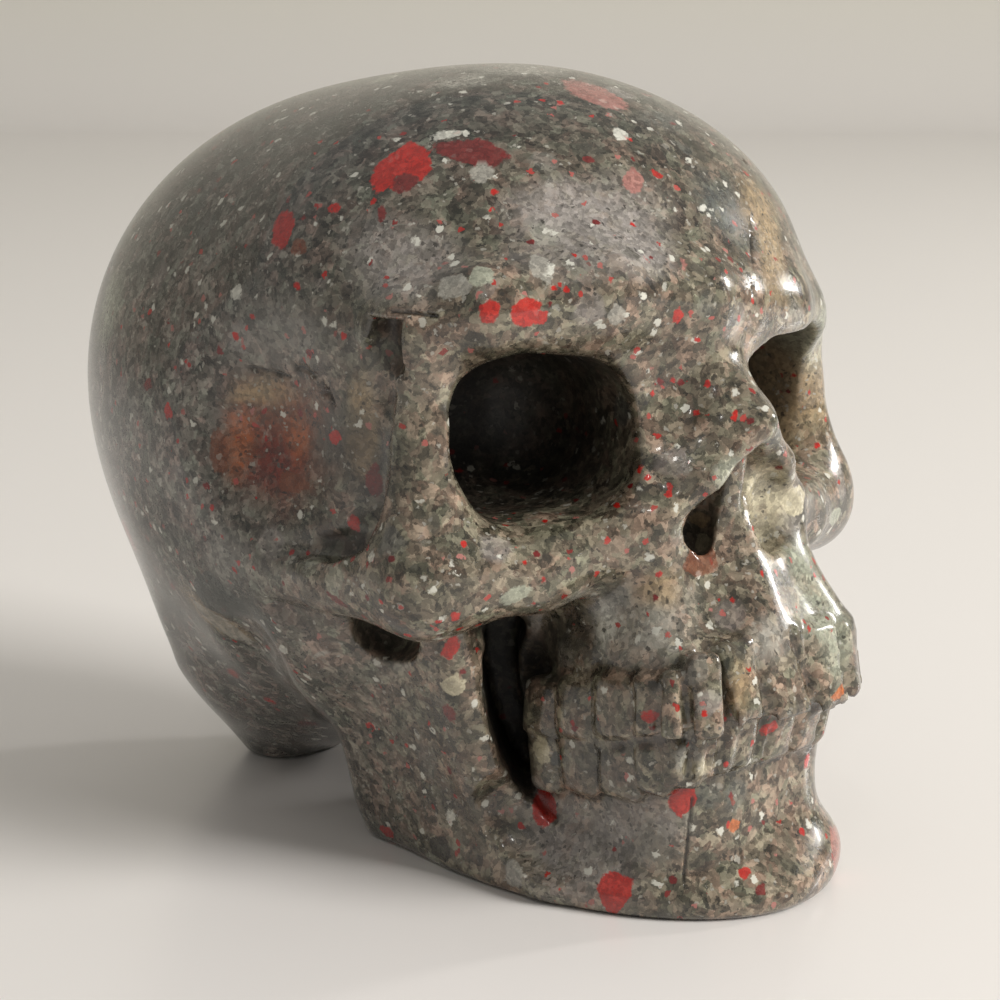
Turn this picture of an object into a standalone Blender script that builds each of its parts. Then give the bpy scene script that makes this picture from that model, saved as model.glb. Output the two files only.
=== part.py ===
"""A skull carved and polished from one piece of African bloodstone.

The skull looks toward -Y, its right side is -X and it stands on z = 0.
Its shape is a field of rounded lumps, joined and hollowed with soft edges, which is positive in the stone.
Lengths in this file are millimetres, and the finished mesh is in metres.
"""

import math

import bpy

MM = 0.001

# Size of the space that holds the field, and the step between its samples.
VOXEL = 0.42
HALF_WIDTH = 17.6
BACK = 26.0
FRONT = -26.2
TOP = 41.0

# The field is drawn with the ears near y = 0, and this shift puts the middle of the skull there.
BACKWARD = 2.45

MOST_FACES = 9500

# Each tooth: x, y and z of its middle, the way it faces in degrees, its width and its height.

UPPER_TEETH = (
    (-6.1, -15.3, 9.05, -90, 2.1, 2.9),
    (-6.15, -17.6, 9.55, -90, 2.3, 2.9),
    (-6.15, -20.0, 10.1, -90, 2.4, 3.0),
    (-6.15, -21.85, 10.5, -86, 1.5, 3.0),
    (-6.0, -23.2, 10.8, -66, 1.5, 3.2),
    (-5.2, -24.0, 11.2, -30, 1.6, 4.0),
    (-2.95, -23.8, 11.2, -4, 2.2, 4.2),
    (-0.15, -23.9, 11.2, 0, 3.1, 4.4),
    (2.85, -24.0, 11.0, 5, 2.5, 4.2),
    (5.2, -23.4, 10.9, 32, 2.4, 3.8),
    (5.8, -21.7, 10.5, 72, 2.0, 3.2),
    (6.1, -19.8, 10.1, 90, 2.2, 3.0),
    (6.15, -17.6, 9.5, 90, 2.3, 2.9),
    (6.1, -15.4, 9.0, 90, 2.0, 2.9),
)
LOWER_TEETH = (
    (-5.75, -15.3, 6.4, -90, 2.0, 3.0),
    (-5.8, -17.55, 6.8, -90, 2.4, 3.0),
    (-5.8, -20.0, 7.2, -88, 2.6, 3.0),
    (-5.7, -21.9, 7.7, -80, 1.8, 2.9),
    (-5.2, -23.0, 8.1, -44, 1.8, 2.8),
    (-3.8, -23.35, 8.4, -10, 1.8, 2.6),
    (-2.0, -23.5, 8.5, -3, 2.2, 2.6),
    (0.1, -23.5, 8.45, 0, 2.3, 2.6),
    (2.3, -23.3, 8.4, 6, 2.3, 2.6),
    (4.2, -22.6, 8.2, 34, 2.2, 2.6),
    (5.2, -21.4, 7.9, 68, 1.9, 2.5),
    (5.7, -19.7, 7.5, 86, 2.2, 2.4),
    (5.8, -17.6, 7.1, 90, 2.3, 2.4),
    (5.75, -15.5, 6.7, 90, 2.1, 2.4),
)

STONE_COLOUR = (0.20, 0.19, 0.17, 1.0)
STONE_ROUGHNESS = 0.18


class Field:
    """A number or a vector that changes from place to place, held as one socket of the node tree."""

    def __init__(self, tree, socket):
        self.tree = tree
        self.socket = socket

    def _feed(self, node, index, value):
        if isinstance(value, Field):
            self.tree.links.new(value.socket, node.inputs[index])
        else:
            node.inputs[index].default_value = value

    def math(self, operation, *others):
        node = self.tree.nodes.new("ShaderNodeMath")
        node.operation = operation
        for index, value in enumerate((self, *others)):
            self._feed(node, index, value)
        return Field(self.tree, node.outputs[0])

    def vector(self, operation, other=None, output=0):
        node = self.tree.nodes.new("ShaderNodeVectorMath")
        node.operation = operation
        self._feed(node, 0, self)
        if other is not None:
            self._feed(node, 1, other)
        return Field(self.tree, node.outputs[output])

    def turned(self, degrees):
        """The same place seen from axes that are turned by these angles about X, Y and Z."""
        node = self.tree.nodes.new("ShaderNodeVectorRotate")
        node.rotation_type = "EULER_XYZ"
        node.invert = True
        self._feed(node, 0, self)
        node.inputs["Rotation"].default_value = tuple(angle * 0.0174532925 for angle in degrees)
        return Field(self.tree, node.outputs[0])

    def length(self):
        return self.vector("LENGTH", output=1)

    def dot(self, other):
        return self.vector("DOT_PRODUCT", other, output=1)

    def __add__(self, other):
        return self.math("ADD", other)

    def __radd__(self, other):
        return self.math("ADD", other)

    def __sub__(self, other):
        return self.math("SUBTRACT", other)

    def __rsub__(self, other):
        return (-self).math("ADD", other)

    def __mul__(self, other):
        return self.math("MULTIPLY", other)

    def __rmul__(self, other):
        return self.math("MULTIPLY", other)

    def __truediv__(self, other):
        return self.math("DIVIDE", other)

    def __neg__(self):
        return self.math("MULTIPLY", -1.0)

    def clamped(self):
        return self.math("MAXIMUM", 0.0).math("MINIMUM", 1.0)


def ball(place, centre, radii, turn=None):
    """Distance to an ellipsoid, below zero inside it."""
    local = place.vector("SUBTRACT", centre)
    if turn:
        local = local.turned(turn)
    once = local.vector("DIVIDE", radii).length()
    twice = local.vector("DIVIDE", tuple(r * r for r in radii)).length()
    return (once - 1.0) * (once + 0.001) / (twice + 0.001 / min(radii))


def egg(place, centre, radii, front, turn=None):
    """Distance to an ellipsoid whose half towards -Y has its own depth, front."""
    local = place.vector("SUBTRACT", centre)
    if turn:
        local = local.turned(turn)
    back = local.vector("MAXIMUM", (-1000.0, 0.0, -1000.0)).vector("DIVIDE", radii)
    ahead = local.vector("MINIMUM", (0.0, 0.0, 0.0)).vector("DIVIDE", (1e9, front, 1e9))
    return (back.vector("ADD", ahead).length() - 1.0) * min(radii)


def rod(place, start, end, first, last):
    """Distance to a rounded rod whose radius goes from first to last."""
    along = tuple(b - a for a, b in zip(start, end))
    square = sum(step * step for step in along)
    local = place.vector("SUBTRACT", start)
    share = (local.dot(along) * (1.0 / square)).clamped()
    node = place.tree.nodes.new("ShaderNodeVectorMath")
    node.operation = "SCALE"
    node.inputs[0].default_value = along
    place.tree.links.new(share.socket, node.inputs["Scale"])
    nearest = Field(place.tree, node.outputs[0])
    return local.vector("SUBTRACT", nearest).length() - (share * (last - first) + first)


def chain(place, points, blend=1.0):
    """Rods from each point to the next. A point is x, y, z and its radius."""
    whole = None
    for (*start, first), (*end, last) in zip(points, points[1:]):
        piece = rod(place, tuple(start), tuple(end), first, last)
        whole = piece if whole is None else join(whole, piece, blend)
    return whole


def slab(place, centre, halves, rounding, turn=None):
    """Distance to a box with rounded edges."""
    local = place.vector("SUBTRACT", centre)
    if turn:
        local = local.turned(turn)
    over = local.vector("ABSOLUTE").vector("SUBTRACT", tuple(h - rounding for h in halves))
    return over.vector("MAXIMUM", (0.0, 0.0, 0.0)).length() - rounding


def block(place, centre, halves, corner, edge, lean, turn):
    """Distance to a block with round corners in plan, softer edges above and below, and sides that lean."""
    local = place.vector("SUBTRACT", centre).turned(turn)
    over = local.vector("ABSOLUTE").vector("SUBTRACT", (halves[0] - corner, halves[1] - corner, 0.0))
    over = over.vector("MULTIPLY", (1.0, 1.0, 0.0)).vector("MAXIMUM", (0.0, 0.0, 0.0))
    height = local.dot((0.0, 0.0, 1.0))
    around = over.length() - corner - height * lean
    return around.math("SMOOTH_MAX", height.math("ABSOLUTE") - halves[2], edge)


def join(first, second, blend):
    return first.math("SMOOTH_MIN", second, blend)


def cut(first, second, blend):
    return first.math("SMOOTH_MAX", -second, blend)


def braincase(place, side):
    """The dome, the forehead and the back of the head down to the table."""
    shape = egg(place, (0.0, -3.2, 20.7), (16.4, 24.0, 17.2), 14.0, (8.6, 0, 0))
    shape = join(shape, ball(place, (0.4, -7.4, 27.4), (15.2, 12.4, 10.7)), 5.0)
    shape = join(shape, ball(place, (0.0, 9.2, 9.2), (8.0, 6.9, 8.2)), 9.0)
    nape = block(place, (0.0, 11.1, 2.2), (4.1, 3.1, 3.0), 3.0, 1.4, 0.62, (0, 0, 0))
    shape = join(shape, nape, 3.0)
    valley = chain(side, (
        (16.2, -3.2, 12.4, 1.6),
        (14.4, -1.2, 9.6, 2.4),
        (10.6, 1.0, 5.0, 2.6),
        (7.0, 2.6, 0.6, 2.6),
    ))
    return cut(shape, valley, 2.0)


def brow(place, shape):
    """The ridge above the eye sockets, lower on the left, with a faint hollow above it."""
    shape = join(shape, chain(place, (
        (-13.4, -13.4, 27.6, 1.5),
        (-11.0, -16.2, 28.4, 1.7),
        (-6.0, -18.4, 28.9, 1.8),
        (-1.0, -19.1, 28.2, 1.9),
        (2.0, -18.7, 27.6, 1.7),
        (6.0, -18.0, 27.1, 1.7),
        (10.0, -15.9, 26.2, 1.6),
        (12.4, -13.5, 25.2, 1.5),
    ), 1.5), 3.5)
    return cut(shape, ball(place, (-4.0, -22.6, 33.4), (8.0, 3.4, 2.6)), 2.4)


def cheeks(side, shape):
    """The bars beside the eye sockets, the cheekbones and the arches."""
    shape = join(shape, chain(side, (
        (12.9, -13.6, 26.2, 1.6),
        (12.8, -14.0, 22.5, 1.6),
        (13.2, -14.4, 18.0, 2.1),
    )), 2.0)
    shape = join(shape, chain(side, (
        (13.2, -3.4, 15.8, 1.9),
        (13.8, -9.0, 15.8, 1.9),
        (13.3, -14.2, 16.2, 2.4),
    )), 1.6)
    shape = join(shape, chain(side, (
        (13.0, -14.7, 16.4, 2.4),
        (9.0, -17.1, 16.5, 1.9),
        (4.6, -18.6, 18.0, 2.1),
    )), 3.0)
    return join(shape, chain(side, (
        (13.8, -13.7, 21.6, 0.8),
        (13.9, -14.2, 20.0, 0.85),
        (13.9, -15.0, 18.5, 0.85),
        (13.3, -15.9, 17.1, 0.85),
        (11.6, -16.9, 17.1, 0.8),
        (8.6, -18.2, 17.5, 0.8),
        (6.2, -19.5, 18.2, 0.75),
    )), 0.5)


def nose(place, side, shape):
    """The nose bone with its peaked tip, the rims of the opening and the spine below it."""
    shape = join(shape, slab(place, (0.0, -14.0, 20.0), (7.0, 5.2, 6.0), 4.0), 4.0)
    shape = join(shape, chain(side, (
        (0.6, -19.2, 24.8, 1.0),
        (2.2, -19.4, 20.8, 1.8),
        (3.8, -19.0, 18.0, 2.0),
    )), 2.4)
    shape = join(shape, chain(place, (
        (-0.4, -18.9, 25.8, 1.2),
        (0.1, -22.7, 22.9, 0.7),
    )), 1.6)
    shape = join(shape, chain(side, (
        (0.5, -20.0, 24.6, 1.1),
        (0.8, -21.2, 22.6, 1.3),
        (2.8, -20.3, 20.5, 1.3),
    )), 1.0)
    shape = join(shape, chain(side, (
        (0.2, -22.6, 22.6, 0.6),
        (2.5, -21.8, 20.6, 0.65),
        (4.5, -20.7, 18.7, 0.7),
        (4.5, -20.4, 17.2, 0.9),
        (3.0, -20.7, 15.6, 1.1),
    )), 1.0)
    return join(shape, chain(place, (
        (0.0, -21.0, 16.6, 0.7),
        (-0.7, -22.4, 13.8, 1.0),
    )), 1.6)


def upper_jaw(place):
    """The bone under the nose and the block that holds the upper teeth."""
    bone = rod(place, (0.0, -18.0, 16.4), (0.0, -18.3, 12.6), 4.2, 6.1)
    row = block(place, (0.0, -18.9, 11.7), (6.25, 4.6, 3.3), 2.6, 1.2, -0.2, (-12, 0, 0))
    bone = join(bone, row, 2.4)
    return join(bone, ball(place, (4.0, -21.9, 13.6), (2.4, 2.3, 2.0)), 1.4)


def lower_jaw(place, side):
    """The block of lower teeth, the chin and the foot that spreads onto the table."""
    jaw = ball(place, (0.0, -12.8, 0.8), (8.3, 12.8, 3.4))
    jaw = join(jaw, ball(place, (2.6, -20.4, 1.4), (4.6, 4.2, 2.6)), 2.4)
    jaw = join(jaw, slab(place, (0.0, -13.2, 5.0), (5.8, 10.4, 4.6), 3.4), 2.0)
    jaw = cut(jaw, ball(side, (8.8, -20.0, 4.2), (2.4, 4.6, 1.7)), 1.6)
    row = block(place, (0.0, -18.5, 7.5), (5.8, 4.7, 2.0), 2.6, 0.9, 0.15, (-11, 0, 0))
    return join(jaw, row, 0.8)


def ramus(side):
    """The plate that climbs from the back of the jaw to the arch, leaning out as it rises."""
    plate = slab(side, (8.3, -8.6, 7.2), (1.5, 5.8, 8.0), 1.45, (0, 20, 0))
    plate = join(plate, chain(side, (
        (8.9, -12.4, 8.6, 1.0),
        (8.1, -12.9, 5.8, 1.1),
        (7.6, -14.4, 3.4, 1.1),
        (7.0, -16.4, 1.4, 1.3),
    )), 1.2)
    return join(plate, slab(side, (4.6, -7.4, 6.8), (3.4, 5.2, 6.6), 2.6), 2.0)


def sockets(place, shape):
    """The two eye sockets, each turned a little outwards."""
    right_eye = slab(place, (-8.05, -15.8, 22.65), (4.45, 7.2, 3.65), 3.2, (0, 6, -18))
    right_eye = join(right_eye, ball(place, (-8.1, -13.2, 22.6), (4.8, 5.4, 4.1)), 0.8)
    left_eye = slab(place, (7.1, -16.4, 22.3), (4.7, 6.8, 3.9), 3.6, (0, -2, 16))
    left_eye = join(left_eye, ball(place, (4.7, -18.0, 23.7), (3.9, 3.8, 2.8), (0, 0, 16)), 0.8)
    shape = cut(shape, right_eye, 0.6)
    return cut(shape, left_eye, 0.6)


def temples(side, shape):
    """Shallow hollows behind the bars, with a step along each bar and a deeper fold above each arch."""
    shape = cut(shape, ball(side, (20.6, -7.4, 22.4), (6.4, 7.2, 7.6)), 2.4)
    groove = ball(side, (15.1, -13.9, 25.2), (1.7, 1.3, 7.4), (5, 0, 25))
    groove = join(groove, ball(side, (14.4, -13.6, 27.2), (0.85, 2.4, 1.6), (0, 0, 44)), 0.4)
    groove = groove.math("SMOOTH_MAX", side.dot((0.0, 0.0, 1.0)) - 28.1, 0.3)
    shape = cut(shape, groove, 0.35)
    return cut(shape, chain(side, (
        (15.6, -6.8, 16.9, 0.4),
        (14.7, -10.2, 17.4, 0.7),
        (14.3, -12.0, 17.9, 0.9),
    )), 0.6)


def nostrils(place, shape):
    """The opening under the nose bone, with the thin wall that parts it."""
    right = chain(place, (
        (-0.9, -22.4, 21.2, 0.3),
        (-2.6, -20.6, 18.4, 1.3),
        (-2.3, -20.4, 17.5, 1.2),
    ), 0.3)
    left = chain(place, (
        (0.7, -23.0, 21.4, 0.35),
        (1.9, -22.2, 19.0, 1.2),
        (1.9, -21.9, 17.5, 1.2),
    ), 0.3)
    shape = cut(shape, join(right, left, 0.6), 0.3)
    wall = slab(place, (-0.5, -19.9, 19.4), (0.65, 2.0, 3.4), 0.55, (9, 0, 0))
    shape = join(shape, wall, 0.5)
    return cut(shape, ball(place, (-3.8, -24.4, 15.8), (2.9, 2.2, 2.3), (0, 0, 20)), 2.0)


def tooth_row(place, row, depth, at_side, in_front):
    """One row of teeth, which lean by one angle at the sides and by another in front."""
    whole = None
    for x, y, z, facing, width, height in row:
        tilt = at_side + (in_front - at_side) * math.cos(math.radians(facing)) ** 2
        tooth = slab(place, (x, y, z), (width / 2, depth, height / 2), 0.5, (tilt, 0, facing))
        whole = tooth if whole is None else join(whole, tooth, 0.1)
    return whole


def teeth(place, shape):
    """Both rows of teeth, the line where they meet and the line of the gums."""
    gums = None
    for sign in (-1.0, 1.0):
        line = chain(place, (
            (sign * 7.2, -14.4, 10.1, 0.3),
            (sign * 7.2, -19.4, 11.1, 0.3),
            (sign * 7.0, -21.8, 11.7, 0.3),
        ), 0.2)
        gums = line if gums is None else join(gums, line, 0.1)
    shape = cut(shape, gums, 0.5)
    shape = join(shape, tooth_row(place, UPPER_TEETH, 1.0, -5, -15), 0.4)
    shape = join(shape, tooth_row(place, LOWER_TEETH, 1.0, 8, 12), 0.4)
    bite = chain(place, (
        (-7.35, -14.4, 7.7, 0.28),
        (-7.35, -19.3, 8.4, 0.28),
        (-7.2, -22.0, 9.1, 0.28),
        (-6.3, -24.3, 9.7, 0.28),
        (-3.0, -25.0, 9.6, 0.28),
        (3.0, -24.9, 9.3, 0.28),
        (6.2, -23.8, 9.2, 0.28),
        (7.3, -21.4, 8.7, 0.28),
        (7.35, -14.4, 7.6, 0.28),
    ), 0.3)
    shape = cut(shape, bite, 0.4)
    shape = cut(shape, chain(place, (
        (-7.0, -14.4, 4.8, 0.3),
        (-7.0, -17.6, 5.1, 0.3),
        (-6.9, -21.0, 5.9, 0.3),
        (-6.4, -23.0, 6.6, 0.3),
        (-5.0, -24.2, 7.0, 0.3),
        (-2.0, -24.7, 7.0, 0.3),
        (2.4, -24.5, 6.9, 0.3),
        (5.2, -23.2, 6.6, 0.3),
        (6.8, -21.0, 6.0, 0.3),
        (7.0, -17.6, 5.1, 0.3),
        (7.0, -14.4, 4.8, 0.3),
    ), 0.3), 0.4)
    return cut(shape, rod(place, (-4.2, -24.9, 9.9), (-4.6, -23.9, 13.2), 0.6, 0.4), 0.3)


def jaw_gap(side, shape):
    """The crescent between the lower teeth and the plate that climbs to the arch."""
    for x, y, z, wide, tall in (
        (6.70, -12.40, 9.6, 0.60, 2.4),
        (6.37, -12.72, 7.6, 0.60, 2.0),
        (5.90, -13.20, 6.0, 0.44, 1.4),
    ):
        shape = cut(shape, ball(side, (x, y, z), (wide, 4.4, tall), (0, 0, 44)), 0.4)
    return shape


def arch_edge(side, shape):
    """The notch under each arch and the crease that runs forward from it."""
    shape = cut(shape, ball(side, (12.2, -10.5, 12.7), (1.7, 2.8, 1.6), (0, 0, 44)), 0.4)
    return cut(shape, chain(side, (
        (14.8, -5.5, 13.5, 0.5),
        (14.2, -9.5, 13.0, 0.7),
        (13.3, -12.6, 12.8, 0.7),
        (12.0, -14.6, 12.9, 0.5),
    )), 0.8)


def stone_field(place, side):
    """The whole carving. side is place with its x made positive, for forms that both sides share."""
    shape = braincase(place, side)
    shape = brow(place, shape)
    shape = cheeks(side, shape)
    shape = nose(place, side, shape)
    shape = join(shape, upper_jaw(place), 2.4)
    shape = join(shape, lower_jaw(place, side), 0.8)
    shape = cut(shape, chain(side, (
        (7.9, -12.6, 13.2, 1.4),
        (7.5, -11.2, 10.0, 1.9),
        (6.9, -12.2, 6.8, 1.4),
        (7.0, -13.8, 5.6, 0.8),
    )), 1.0)
    shape = join(shape, ramus(side), 1.4)
    shape = cut(shape, ball(side, (9.2, -18.2, 4.1), (2.5, 5.0, 2.9)), 0.5)
    shape = jaw_gap(side, shape)
    shape = sockets(place, shape)
    shape = temples(side, shape)
    shape = nostrils(place, shape)
    shape = arch_edge(side, shape)
    shape = teeth(place, shape)
    floor = place.dot((0.0, 0.0, 1.0))
    return shape.math("SMOOTH_MAX", -floor, 0.5)


def carving_tree(voxel, stone):
    """The node tree that fills a box of space with the field and draws the surface where it is zero."""
    tree = bpy.data.node_groups.new("skull_form", "GeometryNodeTree")
    tree.interface.new_socket("Geometry", in_out="OUTPUT", socket_type="NodeSocketGeometry")
    place = Field(tree, tree.nodes.new("GeometryNodeInputPosition").outputs[0])
    mirrored = tree.nodes.new("ShaderNodeCombineXYZ")
    across = tree.nodes.new("ShaderNodeSeparateXYZ")
    tree.links.new(place.socket, across.inputs[0])
    tree.links.new(Field(tree, across.outputs[0]).math("ABSOLUTE").socket, mirrored.inputs[0])
    tree.links.new(across.outputs[1], mirrored.inputs[1])
    tree.links.new(across.outputs[2], mirrored.inputs[2])
    side = Field(tree, mirrored.outputs[0])
    inside = -stone_field(place, side)

    low = (-HALF_WIDTH - 2.0, FRONT - 2.0, -2.0)
    high = (HALF_WIDTH + 2.0, BACK + 2.0, TOP + 3.0)
    volume = tree.nodes.new("GeometryNodeVolumeCube")
    tree.links.new(inside.socket, volume.inputs["Density"])
    volume.inputs["Background"].default_value = -4.0
    volume.inputs["Min"].default_value = low
    volume.inputs["Max"].default_value = high
    for axis, start, end in zip("XYZ", low, high):
        volume.inputs[f"Resolution {axis}"].default_value = int((end - start) / voxel) + 1
    surface = tree.nodes.new("GeometryNodeVolumeToMesh")
    tree.links.new(volume.outputs[0], surface.inputs["Volume"])
    surface.inputs["Threshold"].default_value = 0.0
    scaled = tree.nodes.new("GeometryNodeTransform")
    tree.links.new(surface.outputs[0], scaled.inputs["Geometry"])
    scaled.inputs["Scale"].default_value = (MM, MM, MM)
    scaled.inputs["Translation"].default_value = (0.0, BACKWARD * MM, 0.0)
    smooth = tree.nodes.new("GeometryNodeSetShadeSmooth")
    tree.links.new(scaled.outputs[0], smooth.inputs["Geometry"])
    coated = tree.nodes.new("GeometryNodeSetMaterial")
    tree.links.new(smooth.outputs[0], coated.inputs["Geometry"])
    coated.inputs["Material"].default_value = stone
    output = tree.nodes.new("NodeGroupOutput")
    tree.links.new(coated.outputs[0], output.inputs[0])
    return tree


def stone_material():
    """Dark grey stone with a gloss."""
    stone = bpy.data.materials.new("african_bloodstone")
    stone.use_nodes = True
    shader = stone.node_tree.nodes["Principled BSDF"]
    shader.inputs["Base Color"].default_value = STONE_COLOUR
    shader.inputs["Roughness"].default_value = STONE_ROUGHNESS
    shader.inputs["Metallic"].default_value = 0.0
    stone.diffuse_color = STONE_COLOUR
    return stone


def make_skull(voxel=VOXEL):
    """The skull at the fineness of one voxel."""
    mesh = bpy.data.meshes.new("stone_skull")
    stone = stone_material()
    mesh.materials.append(stone)
    skull = bpy.data.objects.new("stone_skull", mesh)
    bpy.context.scene.collection.objects.link(skull)
    carve = skull.modifiers.new("carve", "NODES")
    carve.node_group = carving_tree(voxel, stone)
    return skull


def main():
    for obj in list(bpy.data.objects):
        bpy.data.objects.remove(obj)
    skull = make_skull()
    graph = bpy.context.evaluated_depsgraph_get()
    quads = len(skull.evaluated_get(graph).data.polygons)
    lighter = skull.modifiers.new("lighter", "DECIMATE")
    lighter.ratio = MOST_FACES / (2 * quads)


main()
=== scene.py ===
"""A small skull carved and polished from one piece of African bloodstone.

The skull looks toward -Y, its right side is -X and it stands on z = 0.
Lengths inside the form and the stone's pattern are millimetres, and everything in the scene is in metres.
"""

from __future__ import annotations

import logging
import math
from dataclasses import dataclass, field
from enum import Enum
from typing import Iterable, Sequence, Union

import bmesh
import bpy
import numpy as np
from mathutils import Euler, Matrix, Vector
from mathutils.bvhtree import BVHTree


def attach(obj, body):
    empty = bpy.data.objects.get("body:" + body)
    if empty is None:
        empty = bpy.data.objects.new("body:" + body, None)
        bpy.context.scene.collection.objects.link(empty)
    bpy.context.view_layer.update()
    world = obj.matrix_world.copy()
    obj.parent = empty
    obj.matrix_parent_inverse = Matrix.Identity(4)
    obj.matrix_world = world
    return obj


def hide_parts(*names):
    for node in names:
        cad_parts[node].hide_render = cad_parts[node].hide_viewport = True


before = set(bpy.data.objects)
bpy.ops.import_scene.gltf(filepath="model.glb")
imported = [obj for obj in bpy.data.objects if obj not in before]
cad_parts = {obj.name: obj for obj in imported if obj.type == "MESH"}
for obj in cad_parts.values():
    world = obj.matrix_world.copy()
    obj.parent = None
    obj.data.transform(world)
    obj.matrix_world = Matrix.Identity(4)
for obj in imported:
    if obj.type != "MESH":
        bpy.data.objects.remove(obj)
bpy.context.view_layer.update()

LOG = logging.getLogger("skull")
MM = 0.001
# The form is worked out around the ears. This moves it back to the middle of the part's box.
BACKWARD = 2.45
VOXEL = 0.25

Triple = tuple[float, float, float]
Colour = tuple[float, float, float]
Rod = tuple[float, float, float, float]


class Wire:
    """A number or a vector that changes from place to place, held as one socket of a node tree."""

    def __init__(self, tree: bpy.types.NodeTree, socket: bpy.types.NodeSocket) -> None:
        """Keeps the tree and the socket.

        Args:
            tree: The node tree that the socket belongs to.
            socket: The output socket that carries the value.
        """
        self.tree = tree
        self.socket = socket

    def math(self, operation: str, *others: Operand) -> Wire:
        """Feeds this value and others through a Math node.

        Args:
            operation: The node's operation.
            others: The second and third values.

        Returns:
            The result.
        """
        made = self.tree.nodes.new("ShaderNodeMath")
        made.operation = operation
        for index, value in enumerate((self, *others)):
            feed(self.tree, made.inputs[index], value)
        return Wire(self.tree, made.outputs[0])

    def vector(self, operation: str, other: Union[Operand, Triple, None] = None) -> Wire:
        """Feeds this value and another through a Vector Math node.

        Args:
            operation: The node's operation.
            other: The second value, if the operation has one.

        Returns:
            The result, which is a number for LENGTH, DISTANCE and DOT_PRODUCT.
        """
        made = self.tree.nodes.new("ShaderNodeVectorMath")
        made.operation = operation
        feed(self.tree, made.inputs[0], self)
        if other is not None:
            feed(self.tree, made.inputs["Scale" if operation == "SCALE" else 1], other)
        number = operation in ("LENGTH", "DISTANCE", "DOT_PRODUCT")
        return Wire(self.tree, made.outputs["Value" if number else "Vector"])

    def turned(self, degrees: Triple) -> Wire:
        """The same place seen from axes that are turned.

        Args:
            degrees: The angles about X, Y and Z.

        Returns:
            The place along the turned axes.
        """
        made = self.tree.nodes.new("ShaderNodeVectorRotate")
        made.rotation_type = "EULER_XYZ"
        made.invert = True
        feed(self.tree, made.inputs["Vector"], self)
        made.inputs["Rotation"].default_value = tuple(math.radians(angle) for angle in degrees)
        return Wire(self.tree, made.outputs[0])

    def __add__(self, other: Operand) -> Wire:
        """The sum of this and another value."""
        return self.math("ADD", other)

    def __radd__(self, other: float) -> Wire:
        """The sum of a number and this."""
        return self.math("ADD", other)

    def __sub__(self, other: Operand) -> Wire:
        """This less another value."""
        return self.math("SUBTRACT", other)

    def __rsub__(self, other: float) -> Wire:
        """A number less this."""
        return self.math("MULTIPLY", -1.0).math("ADD", other)

    def __mul__(self, other: Operand) -> Wire:
        """The product of this and another value."""
        return self.math("MULTIPLY", other)

    def __rmul__(self, other: float) -> Wire:
        """The product of a number and this."""
        return self.math("MULTIPLY", other)

    def __truediv__(self, other: Operand) -> Wire:
        """This divided by another value."""
        return self.math("DIVIDE", other)

    def __rtruediv__(self, other: float) -> Wire:
        """A number divided by this."""
        return self.math("POWER", -1.0).math("MULTIPLY", other)

    def __neg__(self) -> Wire:
        """This with its sign changed."""
        return self.math("MULTIPLY", -1.0)

    def clamped(self) -> Wire:
        """Holds the value between 0 and 1.

        Returns:
            The held value.
        """
        return self.math("MAXIMUM", 0.0).math("MINIMUM", 1.0)

    def step(self, low: float, high: float) -> Wire:
        """A soft step that is 0 at low and 1 at high, whichever is the larger.

        Args:
            low: Where the step is 0.
            high: Where the step is 1.

        Returns:
            The step's height, from 0 to 1.
        """
        made = self.tree.nodes.new("ShaderNodeMapRange")
        for index, value in enumerate((self, low, high, 0.0, 1.0)):
            feed(self.tree, made.inputs[index], value)
        return Wire(self.tree, made.outputs[0])


Operand = Union[Wire, float]


def feed(tree: bpy.types.NodeTree, socket: bpy.types.NodeSocket, value: object) -> None:
    """Links a wire to an input, or sets the input's own value.

    Args:
        tree: The node tree.
        socket: The input.
        value: A wire, a number, a vector or a colour.
    """
    if isinstance(value, Wire):
        tree.links.new(value.socket, socket)
    elif isinstance(value, tuple) and len(value) == 3 and len(socket.default_value) == 4:
        socket.default_value = (*value, 1.0)
    else:
        socket.default_value = value


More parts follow.
